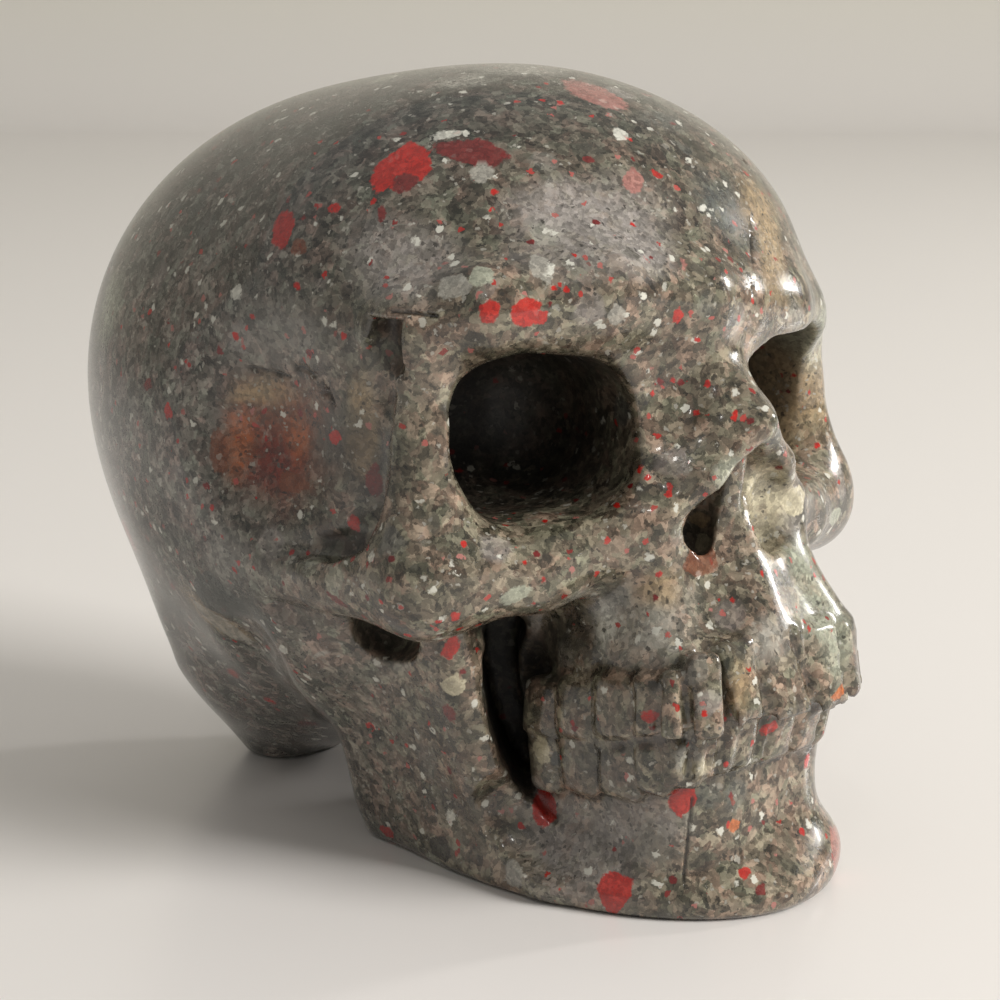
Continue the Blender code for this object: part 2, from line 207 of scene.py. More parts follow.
@dataclass
class Tree:
    """A node tree and one way of adding any node to it."""

    nodes: bpy.types.NodeTree

    def node(self, kind: str, output: Union[str, int] = 0, settings: dict | None = None, **inputs: object) -> Wire:
        """Adds a node.

        Args:
            kind: The node's type name.
            output: The name or the index of the output that is wanted.
            settings: The node's own settings.
            inputs: Values or wires by input name, with _ for a space.

        Returns:
            The wanted output.
        """
        made = self.nodes.nodes.new(kind)
        for name, value in (settings or {}).items():
            setattr(made, name, value)
        for name, value in inputs.items():
            feed(self.nodes, made.inputs[name.replace("_", " ")], value)
        return Wire(self.nodes, made.outputs[output])

    def mix(self, below: Union[Wire, Colour], above: Union[Wire, Colour], share: Operand, mode: str = "MIX") -> Wire:
        """Mixes two colours.

        Args:
            below: The colour at share 0.
            above: The colour at share 1.
            share: How much of above is used.
            mode: The blend mode.

        Returns:
            The mixed colour.
        """
        made = self.nodes.nodes.new("ShaderNodeMix")
        made.data_type = "RGBA"
        made.blend_type = mode
        made.clamp_factor = True
        feed(self.nodes, made.inputs[0], share)
        feed(self.nodes, made.inputs[6], below)
        feed(self.nodes, made.inputs[7], above)
        return Wire(self.nodes, made.outputs[2])

    def ramp(self, share: Wire, stops: Sequence[tuple[float, Colour]], hard: bool = False) -> Wire:
        """Turns a number into a colour.

        Args:
            share: The number, from 0 to 1.
            stops: Places and colours along the ramp.
            hard: Whether each colour holds until the next place.

        Returns:
            The colour.
        """
        made = self.nodes.nodes.new("ShaderNodeValToRGB")
        made.color_ramp.interpolation = "CONSTANT" if hard else "LINEAR"
        ends = made.color_ramp.elements
        while len(ends) > 1:
            ends.remove(ends[-1])
        ends[0].position, ends[0].color = stops[0][0], (*stops[0][1], 1.0)
        for place, colour in stops[1:]:
            ends.new(place).color = (*colour, 1.0)
        feed(self.nodes, made.inputs[0], share)
        return Wire(self.nodes, made.outputs[0])


def ball(place: Wire, centre: Triple, radii: Triple, turn: Triple | None = None) -> Wire:
    """Distance to an ellipsoid, below zero inside it.

    Args:
        place: Where the distance is taken.
        centre: The ellipsoid's middle.
        radii: Its radii.
        turn: How it is turned, in degrees.

    Returns:
        The distance.
    """
    local = place.vector("SUBTRACT", centre)
    if turn:
        local = local.turned(turn)
    once = local.vector("DIVIDE", radii).vector("LENGTH")
    twice = local.vector("DIVIDE", tuple(r * r for r in radii)).vector("LENGTH")
    return (once - 1.0) * (once + 0.001) / (twice + 0.001 / min(radii))


def egg(place: Wire, centre: Triple, radii: Triple, front: float, turn: Triple) -> Wire:
    """Distance to an ellipsoid whose half towards -Y has its own depth.

    Args:
        place: Where the distance is taken.
        centre: The ellipsoid's middle.
        radii: Its radii.
        front: The depth of the half towards -Y.
        turn: How it is turned, in degrees.

    Returns:
        The distance.
    """
    local = place.vector("SUBTRACT", centre).turned(turn)
    back = local.vector("MAXIMUM", (-1000.0, 0.0, -1000.0)).vector("DIVIDE", radii)
    ahead = local.vector("MINIMUM", (0.0, 0.0, 0.0)).vector("DIVIDE", (1e9, front, 1e9))
    return (back.vector("ADD", ahead).vector("LENGTH") - 1.0) * min(radii)


def rod(place: Wire, start: Triple, end: Triple, first: float, last: float) -> Wire:
    """Distance to a round-ended rod whose radius changes along it.

    Args:
        place: Where the distance is taken.
        start: The middle of one end.
        end: The middle of the other end.
        first: The radius at the start.
        last: The radius at the end.

    Returns:
        The distance.
    """
    along = tuple(b - a for a, b in zip(start, end))
    local = place.vector("SUBTRACT", start)
    share = (local.vector("DOT_PRODUCT", along) * (1.0 / sum(step * step for step in along))).clamped()
    made = place.tree.nodes.new("ShaderNodeVectorMath")
    made.operation = "SCALE"
    made.inputs[0].default_value = along
    feed(place.tree, made.inputs["Scale"], share)
    nearest = Wire(place.tree, made.outputs[0])
    return local.vector("SUBTRACT", nearest).vector("LENGTH") - (share * (last - first) + first)


def chain(place: Wire, points: Sequence[Rod], blend: float = 1.0) -> Wire:
    """Distance to rods that run from each point to the next.

    Args:
        place: Where the distance is taken.
        points: The x, y, z and radius of each point.
        blend: How softly the rods run together.

    Returns:
        The distance.
    """
    whole: Wire | None = None
    for (*start, first), (*end, last) in zip(points, points[1:]):
        piece = rod(place, tuple(start), tuple(end), first, last)
        whole = piece if whole is None else join(whole, piece, blend)
    assert whole is not None
    return whole


def slab(place: Wire, centre: Triple, halves: Triple, rounding: float, turn: Triple | None = None) -> Wire:
    """Distance to a box with rounded edges.

    Args:
        place: Where the distance is taken.
        centre: The box's middle.
        halves: Half of each side.
        rounding: The radius of its edges.
        turn: How it is turned, in degrees.

    Returns:
        The distance.
    """
    local = place.vector("SUBTRACT", centre)
    if turn:
        local = local.turned(turn)
    over = local.vector("ABSOLUTE").vector("SUBTRACT", tuple(h - rounding for h in halves))
    return over.vector("MAXIMUM", (0.0, 0.0, 0.0)).vector("LENGTH") - rounding


def block(
    place: Wire, centre: Triple, halves: Triple, corner: float, edge: float, lean: float, turn: Triple
) -> Wire:
    """Distance to a block with round corners in plan and sides that lean.

    Args:
        place: Where the distance is taken.
        centre: The block's middle.
        halves: Half of each side.
        corner: The radius of its upright corners.
        edge: How soft its upper and lower edges are.
        lean: How fast its sides widen with height.
        turn: How it is turned, in degrees.

    Returns:
        The distance.
    """
    local = place.vector("SUBTRACT", centre).turned(turn)
    over = local.vector("ABSOLUTE").vector("SUBTRACT", (halves[0] - corner, halves[1] - corner, 0.0))
    over = over.vector("MULTIPLY", (1.0, 1.0, 0.0)).vector("MAXIMUM", (0.0, 0.0, 0.0))
    height = local.vector("DOT_PRODUCT", (0.0, 0.0, 1.0))
    around = over.vector("LENGTH") - corner - height * lean
    return around.math("SMOOTH_MAX", height.math("ABSOLUTE") - halves[2], edge)


def join(first: Wire, second: Wire, blend: float) -> Wire:
    """Joins two forms, with a soft corner between them.

    Args:
        first: One form.
        second: The other form.
        blend: How soft the corner is.

    Returns:
        The joined form.
    """
    return first.math("SMOOTH_MIN", second, blend)


def cut(first: Wire, second: Wire, blend: float) -> Wire:
    """Takes one form out of another, with a soft edge.

    Args:
        first: The form that is kept.
        second: The form that is taken out.
        blend: How soft the edge is.

    Returns:
        The form that is left.
    """
    return first.math("SMOOTH_MAX", -second, blend)


@dataclass(frozen=True)
class Space:
    """Where the form is worked out: any place, and the same place with its x made positive."""

    place: Wire
    side: Wire


@dataclass(frozen=True)
class Braincase:
    """The dome, the forehead, the brow and the back of the head down to the table."""

    dome: Triple = (0.0, -3.2, 20.7)
    radii: Triple = (16.4, 24.0, 17.2)
    front: float = 14.0
    tilt: float = 8.6

    def build(self, space: Space) -> Wire:
        """Makes the form.

        Args:
            space: Where it is worked out.

        Returns:
            The distance to it.
        """
        place = space.place
        shape = egg(place, self.dome, self.radii, self.front, (self.tilt, 0, 0))
        shape = join(shape, ball(place, (0.4, -7.4, 27.4), (15.2, 12.4, 10.7)), 5.0)
        shape = join(shape, ball(place, (0.0, 9.2, 9.2), (8.0, 6.9, 8.2)), 9.0)
        nape = block(place, (0.0, 11.1, 2.2), (4.1, 3.1, 3.0), 3.0, 1.4, 0.62, (0, 0, 0))
        shape = join(shape, nape, 3.0)
        shape = cut(shape, chain(space.side, (
            (16.2, -3.2, 12.4, 1.6),
            (14.4, -1.2, 9.6, 2.4),
            (10.6, 1.0, 5.0, 2.6),
            (7.0, 2.6, 0.6, 2.6),
        )), 2.0)
        shape = join(shape, chain(place, (
            (-13.4, -13.4, 27.6, 1.5),
            (-11.0, -16.2, 28.4, 1.7),
            (-6.0, -18.4, 28.9, 1.8),
            (-1.0, -19.1, 28.2, 1.9),
            (2.0, -18.7, 27.6, 1.7),
            (6.0, -18.0, 27.1, 1.7),
            (10.0, -15.9, 26.2, 1.6),
            (12.4, -13.5, 25.2, 1.5),
        ), 1.5), 3.5)
        return cut(shape, ball(place, (-4.0, -22.6, 33.4), (8.0, 3.4, 2.6)), 2.4)


@dataclass(frozen=True)
class Face:
    """The bars beside the sockets, the cheekbones, the arches and the nose."""

    tip: Triple = (0.1, -22.7, 22.9)

    def build(self, space: Space, shape: Wire) -> Wire:
        """Adds the face's bones.

        Args:
            space: Where the form is worked out.
            shape: The form so far.

        Returns:
            The form with the face.
        """
        place, side = space.place, space.side
        shape = join(shape, chain(side, (
            (12.9, -13.6, 26.2, 1.6),
            (12.8, -14.0, 22.5, 1.6),
            (13.2, -14.4, 18.0, 2.1),
        )), 2.0)
        shape = join(shape, chain(side, (
            (13.2, -3.4, 15.8, 1.9),
            (13.8, -9.0, 15.8, 1.9),
            (13.3, -14.2, 16.2, 2.4),
        )), 1.6)
        shape = join(shape, chain(side, (
            (13.0, -14.7, 16.4, 2.4),
            (9.0, -17.1, 16.5, 1.9),
            (4.6, -18.6, 18.0, 2.1),
        )), 3.0)
        shape = join(shape, chain(side, (
            (13.8, -13.7, 21.6, 0.8),
            (13.9, -14.2, 20.0, 0.85),
            (13.9, -15.0, 18.5, 0.85),
            (13.3, -15.9, 17.1, 0.85),
            (11.6, -16.9, 17.1, 0.8),
            (8.6, -18.2, 17.5, 0.8),
            (6.2, -19.5, 18.2, 0.75),
        )), 0.5)
        shape = join(shape, slab(place, (0.0, -14.0, 20.0), (7.0, 5.2, 6.0), 4.0), 4.0)
        shape = join(shape, chain(side, (
            (0.6, -19.2, 24.8, 1.0),
            (2.2, -19.4, 20.8, 1.8),
            (3.8, -19.0, 18.0, 2.0),
        )), 2.4)
        shape = join(shape, chain(place, ((-0.4, -18.9, 25.8, 1.2), (*self.tip, 0.7))), 1.6)
        shape = join(shape, chain(side, (
            (0.5, -20.0, 24.6, 1.1),
            (0.8, -21.2, 22.6, 1.3),
            (2.8, -20.3, 20.5, 1.3),
        )), 1.0)
        shape = join(shape, chain(side, (
            (0.2, -22.6, 22.6, 0.6),
            (2.5, -21.8, 20.6, 0.65),
            (4.5, -20.7, 18.7, 0.7),
            (4.5, -20.4, 17.2, 0.9),
            (3.0, -20.7, 15.6, 1.1),
        )), 1.0)
        return join(shape, chain(place, (
            (0.0, -21.0, 16.6, 0.7),
            (-0.7, -22.4, 13.8, 1.0),
        )), 1.6)


@dataclass(frozen=True)
class Jaws:
    """Both jaws, the foot on the table and the plates that climb to the arches."""

    foot: Triple = (8.3, 12.8, 3.4)

    def build(self, space: Space, shape: Wire) -> Wire:
        """Adds the jaws.

        Args:
            space: Where the form is worked out.
            shape: The form so far.

        Returns:
            The form with the jaws.
        """
        place, side = space.place, space.side
        bone = rod(place, (0.0, -18.0, 16.4), (0.0, -18.3, 12.6), 4.2, 6.1)
        row = block(place, (0.0, -18.9, 11.7), (6.25, 4.6, 3.3), 2.6, 1.2, -0.2, (-12, 0, 0))
        bone = join(join(bone, row, 2.4), rod(place, (3.4, -20.6, 15.6), (4.9, -22.3, 11.8), 1.6, 2.0), 1.4)
        shape = join(shape, bone, 2.4)

        jaw = ball(place, (0.0, -12.8, 0.8), self.foot)
        jaw = join(jaw, ball(place, (2.6, -20.4, 1.4), (4.6, 4.2, 2.6)), 2.4)
        jaw = join(jaw, slab(place, (0.0, -13.2, 5.0), (5.8, 10.4, 4.6), 3.4), 2.0)
        jaw = cut(jaw, ball(side, (8.8, -20.0, 4.2), (2.4, 4.6, 1.7)), 1.6)
        row = block(place, (0.0, -18.5, 7.5), (5.8, 4.7, 2.0), 2.6, 0.9, 0.15, (-11, 0, 0))
        shape = join(shape, join(jaw, row, 0.8), 0.8)

        shape = cut(shape, chain(side, (
            (7.9, -12.6, 13.2, 1.4),
            (7.5, -11.2, 10.0, 1.9),
            (6.9, -12.2, 6.8, 1.4),
            (7.0, -13.8, 5.6, 0.8),
        )), 1.0)
        plate = slab(side, (8.3, -8.6, 7.2), (1.5, 5.8, 8.0), 1.45, (0, 20, 0))
        plate = join(plate, chain(side, (
            (8.9, -12.4, 8.6, 1.0),
            (8.1, -12.9, 5.8, 1.1),
            (7.6, -14.4, 3.4, 1.1),
            (7.0, -16.4, 1.4, 1.3),
        )), 1.2)
        plate = join(plate, slab(side, (4.6, -7.4, 6.8), (3.4, 5.2, 6.6), 2.6), 2.0)
        shape = join(shape, plate, 1.4)
        shape = cut(shape, ball(side, (8.9, -18.2, 4.0), (2.8, 5.2, 3.2)), 0.25)
        across = side.turned((0, 0, 44))
        gap = chain(across.vector("MULTIPLY", (1.0, 0.0, 1.0)), (
            (-4.30, 0.0, 12.6, 0.85),
            (-3.93, 0.0, 11.6, 0.86),
            (-3.91, 0.0, 10.1, 0.84),
            (-4.15, 0.0, 8.5, 0.78),
            (-4.53, 0.0, 7.0, 0.72),
            (-4.94, 0.0, 5.6, 0.50),
            (-5.27, 0.0, 4.75, 0.28),
        ), 0.3)
        deep = (across.vector("DOT_PRODUCT", (0.0, 1.0, 0.0)) + 13.6).math("ABSOLUTE") - 4.4
        shape = cut(shape, gap.math("SMOOTH_MAX", deep, 0.4), 0.3)
        return shape


@dataclass(frozen=True)
class Hollows:
    """The eye sockets, the temples, the nose opening and the notches under the arches."""

    right_eye: Triple = (-8.05, -15.8, 22.65)
    left_eye: Triple = (7.1, -16.4, 22.3)

    def build(self, space: Space, shape: Wire) -> Wire:
        """Takes the hollows out.

        Args:
            space: Where the form is worked out.
            shape: The form so far.

        Returns:
            The form with its hollows.
        """
        place, side = space.place, space.side
        right = slab(place, self.right_eye, (4.45, 7.2, 3.65), 3.2, (0, 6, -18))
        right = join(right, ball(place, (-8.1, -13.2, 22.6), (4.8, 5.4, 4.1)), 0.8)
        left = slab(place, self.left_eye, (4.7, 6.8, 3.9), 3.6, (0, -2, 16))
        left = join(left, ball(place, (4.7, -18.0, 23.7), (3.9, 3.8, 2.8), (0, 0, 16)), 0.8)
        shape = cut(cut(shape, right, 0.6), left, 0.6)

        shape = cut(shape, ball(side, (20.6, -7.4, 22.4), (6.4, 7.2, 7.6)), 2.4)
        groove = slab(side, (14.9, -13.3, 27.0), (1.35, 0.95, 1.3), 0.4, (0, 0, 12))
        groove = join(groove, chain(side, (
            (14.6, -12.9, 26.3, 1.0),
            (14.7, -12.7, 24.5, 0.95),
            (14.8, -12.4, 21.0, 1.0),
            (14.5, -12.0, 18.4, 0.85),
        )), 0.5)
        groove = groove.math("SMOOTH_MAX", side.vector("DOT_PRODUCT", (0.0, 0.0, 1.0)) - 28.1, 0.3)
        shape = cut(shape, groove, 0.35)
        shape = cut(shape, chain(side, (
            (15.6, -6.8, 16.9, 0.4),
            (14.7, -10.2, 17.4, 0.7),
            (14.3, -12.0, 17.9, 0.9),
        )), 0.6)

        right = chain(place, (
            (-0.9, -22.4, 21.2, 0.3),
            (-2.6, -20.6, 18.4, 1.3),
            (-2.3, -20.4, 17.5, 1.2),
        ), 0.3)
        left = chain(place, (
            (0.7, -23.0, 21.4, 0.35),
            (1.9, -22.2, 19.0, 1.2),
            (1.9, -21.9, 17.5, 1.2),
        ), 0.3)
        shape = cut(shape, join(right, left, 0.6), 0.3)
        wall = slab(place, (-0.5, -19.9, 19.4), (0.65, 2.0, 3.4), 0.55, (9, 0, 0))
        shape = join(shape, wall, 0.5)
        shape = cut(shape, ball(place, (-3.8, -24.4, 15.8), (2.9, 2.2, 2.3), (0, 0, 20)), 2.0)
        shape = cut(shape, ball(side, (12.2, -10.5, 12.7), (1.7, 2.8, 1.6), (0, 0, 44)), 0.4)
        return cut(shape, chain(side, (
            (14.8, -5.5, 13.5, 0.5),
            (14.2, -9.5, 13.0, 0.7),
            (13.3, -12.6, 12.8, 0.7),
            (12.0, -14.6, 12.9, 0.5),
        )), 0.8)


Tooth = tuple[float, float, float, float, float, float]

UPPER_TEETH: tuple[Tooth, ...] = (
    (-6.1, -15.3, 9.05, -90, 2.1, 2.9),
    (-6.15, -17.6, 9.55, -90, 2.3, 2.9),
    (-6.15, -20.0, 10.1, -90, 2.4, 3.0),
    (-6.15, -21.85, 10.5, -86, 1.5, 3.0),
    (-6.0, -23.2, 10.8, -66, 1.5, 3.2),
    (-5.2, -24.0, 11.2, -30, 1.6, 4.0),
    (-2.95, -23.8, 11.2, -4, 2.2, 4.2),
    (-0.15, -23.9, 11.2, 0, 3.1, 4.4),
    (2.85, -24.0, 11.0, 5, 2.5, 4.2),
    (5.2, -23.4, 10.9, 32, 2.4, 3.8),
    (5.8, -21.7, 10.5, 72, 2.0, 3.2),
    (6.1, -19.8, 10.1, 90, 2.2, 3.0),
    (6.15, -17.6, 9.5, 90, 2.3, 2.9),
    (6.1, -15.4, 9.0, 90, 2.0, 2.9),
)
LOWER_TEETH: tuple[Tooth, ...] = (
    (-5.75, -15.3, 6.4, -90, 2.0, 3.0),
    (-5.8, -17.55, 6.8, -90, 2.4, 3.0),
    (-5.8, -20.0, 7.2, -88, 2.6, 3.0),
    (-5.7, -21.9, 7.7, -80, 1.8, 2.9),
    (-5.2, -23.0, 8.1, -44, 1.8, 2.8),
    (-3.8, -23.35, 8.4, -10, 1.8, 2.6),
    (-2.0, -23.5, 8.5, -3, 2.2, 2.6),
    (0.1, -23.5, 8.45, 0, 2.3, 2.6),
    (2.3, -23.3, 8.4, 6, 2.3, 2.6),
    (4.2, -22.6, 8.2, 34, 2.2, 2.6),
    (5.2, -21.4, 7.9, 68, 1.9, 2.5),
    (5.7, -19.7, 7.5, 86, 2.2, 2.4),
    (5.8, -17.6, 7.1, 90, 2.3, 2.4),
    (5.75, -15.5, 6.7, 90, 2.1, 2.4),
)


SIDE_GAPS: tuple[tuple[Triple, Triple], ...] = (
    ((7.25, -16.4, 7.6), (7.15, -16.3, 10.3)),
    ((7.25, -18.8, 8.1), (7.20, -18.7, 10.7)),
    ((7.25, -21.3, 8.7), (7.20, -21.3, 11.2)),
    ((6.95, -22.9, 9.3), (7.00, -22.9, 11.7)),
    ((6.25, -24.2, 9.6), (6.35, -23.9, 12.3)),
    ((6.95, -16.3, 7.2), (6.75, -16.2, 5.2)),
    ((6.95, -18.9, 7.7), (6.80, -18.8, 5.6)),
    ((6.95, -21.0, 8.2), (6.80, -20.9, 6.2)),
    ((6.65, -22.6, 8.8), (6.50, -22.5, 6.9)),
)
FRONT_GAPS: tuple[tuple[Triple, Triple], ...] = (
    ((-1.75, -25.1, 9.8), (-1.9, -24.5, 13.2)),
    ((1.5, -25.2, 9.8), (0.6, -24.5, 13.0)),
    ((4.0, -24.9, 9.8), (4.2, -24.4, 12.8)),
    ((-5.7, -24.0, 9.2), (-5.6, -23.6, 7.3)),
    ((-4.1, -24.5, 9.3), (-4.1, -24.1, 7.4)),
    ((-1.6, -24.7, 9.3), (-1.7, -24.3, 7.4)),
    ((1.1, -24.7, 9.2), (1.0, -24.3, 7.3)),
    ((3.4, -24.3, 9.1), (3.3, -23.9, 7.2)),
)


@dataclass(frozen=True)
class Teeth:
    """Both rows of teeth, the line where they meet and the lines of the gums."""

    upper: tuple[Tooth, ...] = UPPER_TEETH
    lower: tuple[Tooth, ...] = LOWER_TEETH

    @staticmethod
    def row(place: Wire, teeth: Iterable[Tooth], depth: float, at_side: float, in_front: float) -> Wire:
        """One row of teeth, which lean by one angle at the sides and by another in front.

        Args:
            place: Where the form is worked out.
            teeth: Each tooth's x, y and z, the way it faces, its width and its height.
            depth: Half of each tooth's thickness.
            at_side: The lean at the sides, in degrees.
            in_front: The lean in front, in degrees.

        Returns:
            The distance to the row.
        """
        whole: Wire | None = None
        for x, y, z, facing, width, height in teeth:
            tilt = at_side + (in_front - at_side) * math.cos(math.radians(facing)) ** 2
            tooth = slab(place, (x, y, z), (width / 2, depth, height / 2), 0.5, (tilt, 0, facing))
            whole = tooth if whole is None else join(whole, tooth, 0.1)
        assert whole is not None
        return whole

    def build(self, space: Space, shape: Wire) -> Wire:
        """Adds the teeth.

        Args:
            space: Where the form is worked out.
            shape: The form so far.

        Returns:
            The form with its teeth.
        """
        place = space.place
        shape = cut(shape, chain(space.side, (
            (7.2, -14.4, 10.1, 0.3),
            (7.2, -19.4, 11.1, 0.3),
            (7.0, -21.8, 11.7, 0.3),
        ), 0.2), 0.5)
        shape = join(shape, self.row(place, self.upper, 1.0, -5, -15), 0.7)
        shape = join(shape, self.row(place, self.lower, 1.0, 8, 12), 0.4)
        shape = cut(shape, chain(place, (
            (-7.15, -14.4, 7.4, 0.36),
            (-7.15, -19.3, 8.1, 0.36),
            (-7.0, -22.0, 8.9, 0.34),
            (-6.0, -24.1, 9.5, 0.32),
            (-3.0, -24.9, 9.5, 0.28),
            (3.0, -24.9, 9.3, 0.28),
            (6.0, -23.7, 9.1, 0.32),
            (7.1, -21.4, 8.6, 0.36),
            (7.15, -14.4, 7.4, 0.36),
        ), 0.3), 0.15)
        shape = cut(shape, chain(place, (
            (-7.0, -14.4, 4.8, 0.3),
            (-7.0, -17.6, 5.1, 0.3),
            (-6.9, -21.0, 5.9, 0.3),
            (-6.4, -23.0, 6.6, 0.3),
            (-5.0, -24.2, 7.0, 0.3),
            (-2.0, -24.7, 7.0, 0.3),
            (2.4, -24.5, 6.9, 0.3),
            (5.2, -23.2, 6.6, 0.3),
            (6.8, -21.0, 6.0, 0.3),
            (7.0, -17.6, 5.1, 0.3),
            (7.0, -14.4, 4.8, 0.3),
        ), 0.3), 0.4)
        for start, end in SIDE_GAPS:
            shape = cut(shape, rod(space.side, start, end, 0.30, 0.30), 0.12)
        for start, end in FRONT_GAPS:
            shape = cut(shape, rod(place, start, end, 0.34, 0.28), 0.12)
        return cut(shape, rod(place, (-4.3, -24.7, 10.0), (-4.6, -23.6, 13.0), 0.6, 0.45), 0.2)


@dataclass
class CarvedSkull:
    """The whole carving as one closed piece of stone."""

    voxel: float = VOXEL
    most_faces: int = 150000
    low: Triple = (-18.0, -27.0, -2.0)
    high: Triple = (18.0, 22.6, 41.0)
    braincase: Braincase = field(default_factory=Braincase)
    face: Face = field(default_factory=Face)
    jaws: Jaws = field(default_factory=Jaws)
    hollows: Hollows = field(default_factory=Hollows)
    teeth: Teeth = field(default_factory=Teeth)

    def distance(self, space: Space) -> Wire:
        """The distance to the stone's surface, below zero inside it.

        Args:
            space: Where it is worked out.

        Returns:
            The distance, in millimetres.
        """
        shape = self.braincase.build(space)
        shape = self.face.build(space, shape)
        shape = self.jaws.build(space, shape)
        shape = self.hollows.build(space, shape)
        shape = self.teeth.build(space, shape)
        floor = space.place.vector("DOT_PRODUCT", (0.0, 0.0, 1.0))
        return shape.math("SMOOTH_MAX", -floor, 0.5)

    def node_tree(self) -> bpy.types.NodeTree:
        """Makes the node tree that fills a box with the form and draws its surface.

        Returns:
            The geometry node tree.
        """
        nodes = bpy.data.node_groups.new("skull_form", "GeometryNodeTree")
        nodes.interface.new_socket("Geometry", in_out="OUTPUT", socket_type="NodeSocketGeometry")
        tree = Tree(nodes)
        place = tree.node("GeometryNodeInputPosition")
        across = tree.node("ShaderNodeSeparateXYZ", "X", Vector=place)
        along = Wire(nodes, across.socket.node.outputs["Y"])
        up = Wire(nodes, across.socket.node.outputs["Z"])
        side = tree.node("ShaderNodeCombineXYZ", X=across.math("ABSOLUTE"), Y=along, Z=up)
        sizes = {
            f"Resolution_{axis}": int((end - start) / self.voxel) + 1
            for axis, start, end in zip("XYZ", self.low, self.high)
        }
        volume = tree.node(
            "GeometryNodeVolumeCube",
            Density=-self.distance(Space(place, side)),
            Background=-4.0,
            Min=self.low,
            Max=self.high,
            **sizes,
        )
        surface = tree.node("GeometryNodeVolumeToMesh", Volume=volume, Threshold=0.0)
        scaled = tree.node(
            "GeometryNodeTransform",
            Geometry=surface,
            Scale=(MM, MM, MM),
            Translation=(0.0, BACKWARD * MM, 0.0),
        )
        out = nodes.nodes.new("NodeGroupOutput")
        nodes.links.new(scaled.socket, out.inputs[0])
        return nodes

    def build(self) -> bpy.types.Object:
        """Makes the carving's mesh.

        Returns:
            The finished object, with its place in its mesh.
        """
        draft = bpy.data.objects.new("form", bpy.data.meshes.new("form"))
        bpy.context.scene.collection.objects.link(draft)
        draft.modifiers.new("form", "NODES").node_group = self.node_tree()
        graph = bpy.context.evaluated_depsgraph_get()
        mesh = bpy.data.meshes.new_from_object(draft.evaluated_get(graph))
        bpy.data.objects.remove(draft)
        mesh.name = "carved_skull"
        mesh.materials.clear()
        triangles = sum(len(face.vertices) - 2 for face in mesh.polygons)
        if triangles > self.most_faces:
            draft = bpy.data.objects.new("full", mesh)
            bpy.context.scene.collection.objects.link(draft)
            lighter = draft.modifiers.new("lighter", "DECIMATE")
            lighter.ratio = self.most_faces / triangles
            graph = bpy.context.evaluated_depsgraph_get()
            mesh = bpy.data.meshes.new_from_object(draft.evaluated_get(graph))
            bpy.data.objects.remove(draft)
            mesh.name = "carved_skull"
        skull = bpy.data.objects.new("carved_skull", mesh)
        bpy.context.scene.collection.objects.link(skull)
        mesh.shade_smooth()
        return skull

    def dress(self, skull: bpy.types.Object, pattern: Pattern, finish: Bloodstone) -> None:
        """Gives the carving its stone and ties it to the part.

        Args:
            skull: The carving.
            pattern: The clasts and cracks that lie on it, and the shade painted into its hollows and creases.
            finish: The stone.
        """
        pattern.crevices(skull.data)
        pattern.carve(skull.data)
        pattern.lay(skull.data)
        skull.data.shade_smooth()
        skull.data.materials.append(finish.material())
        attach(skull, "root")
        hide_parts("stone_skull")


class Tint(Enum):
    """The stone's colours, as linear red, green and blue."""

    BLACK = (0.020, 0.018, 0.015)
    SHADE = (0.050, 0.045, 0.036)
    OLIVE = (0.105, 0.098, 0.074)
    GREY = (0.165, 0.158, 0.138)
    MAUVE = (0.190, 0.160, 0.145)
    LILAC = (0.260, 0.235, 0.215)
    ASH = (0.300, 0.285, 0.245)
    SAGE = (0.330, 0.345, 0.265)
    CREAM = (0.480, 0.430, 0.300)
    CHALK = (0.560, 0.550, 0.480)
    SLATE = (0.075, 0.080, 0.072)
    RUST = (0.150, 0.046, 0.020)
    TAN = (0.300, 0.215, 0.120)
    RED = (0.350, 0.014, 0.009)
    WINE = (0.130, 0.013, 0.012)
    ORANGE = (0.400, 0.110, 0.030)
    PINK = (0.330, 0.130, 0.110)


@dataclass(frozen=True)
class Clast:
    """One clast that is large enough to be seen by itself."""

    centre: Triple
    radii: Triple
    tint: Tint
    lean: float = 0.0
    ragged: float = 0.25
    strength: float = 1.0

    def ratio(self, places: np.ndarray) -> np.ndarray:
        """How far out each place is.

        Args:
            places: Places, in millimetres.

        Returns:
            A number for each place that is 0 at the clast's middle and 1 on its surface.
        """
        turn = Euler((0.0, math.radians(self.lean), math.radians(-44.3))).to_matrix()
        local = (places - self.centre) @ np.array(turn) / self.radii
        chance = np.random.default_rng(int(abs(sum(self.centre)) * 100))
        faces = chance.normal(size=(12, 3))
        faces /= np.linalg.norm(faces, axis=1)[:, None]
        angular = (local @ faces.T / chance.uniform(0.75, 1.0, 12)).max(axis=1)
        return np.maximum(angular, np.linalg.norm(local, axis=1) * 0.86)

    def outside(self, places: np.ndarray) -> np.ndarray:
        """How far each place is outside the clast.

        Args:
            places: Places, in millimetres.

        Returns:
            The distances, below zero inside, in millimetres.
        """
        return (self.ratio(places) - 1.0) * min(self.radii[0], self.radii[2])


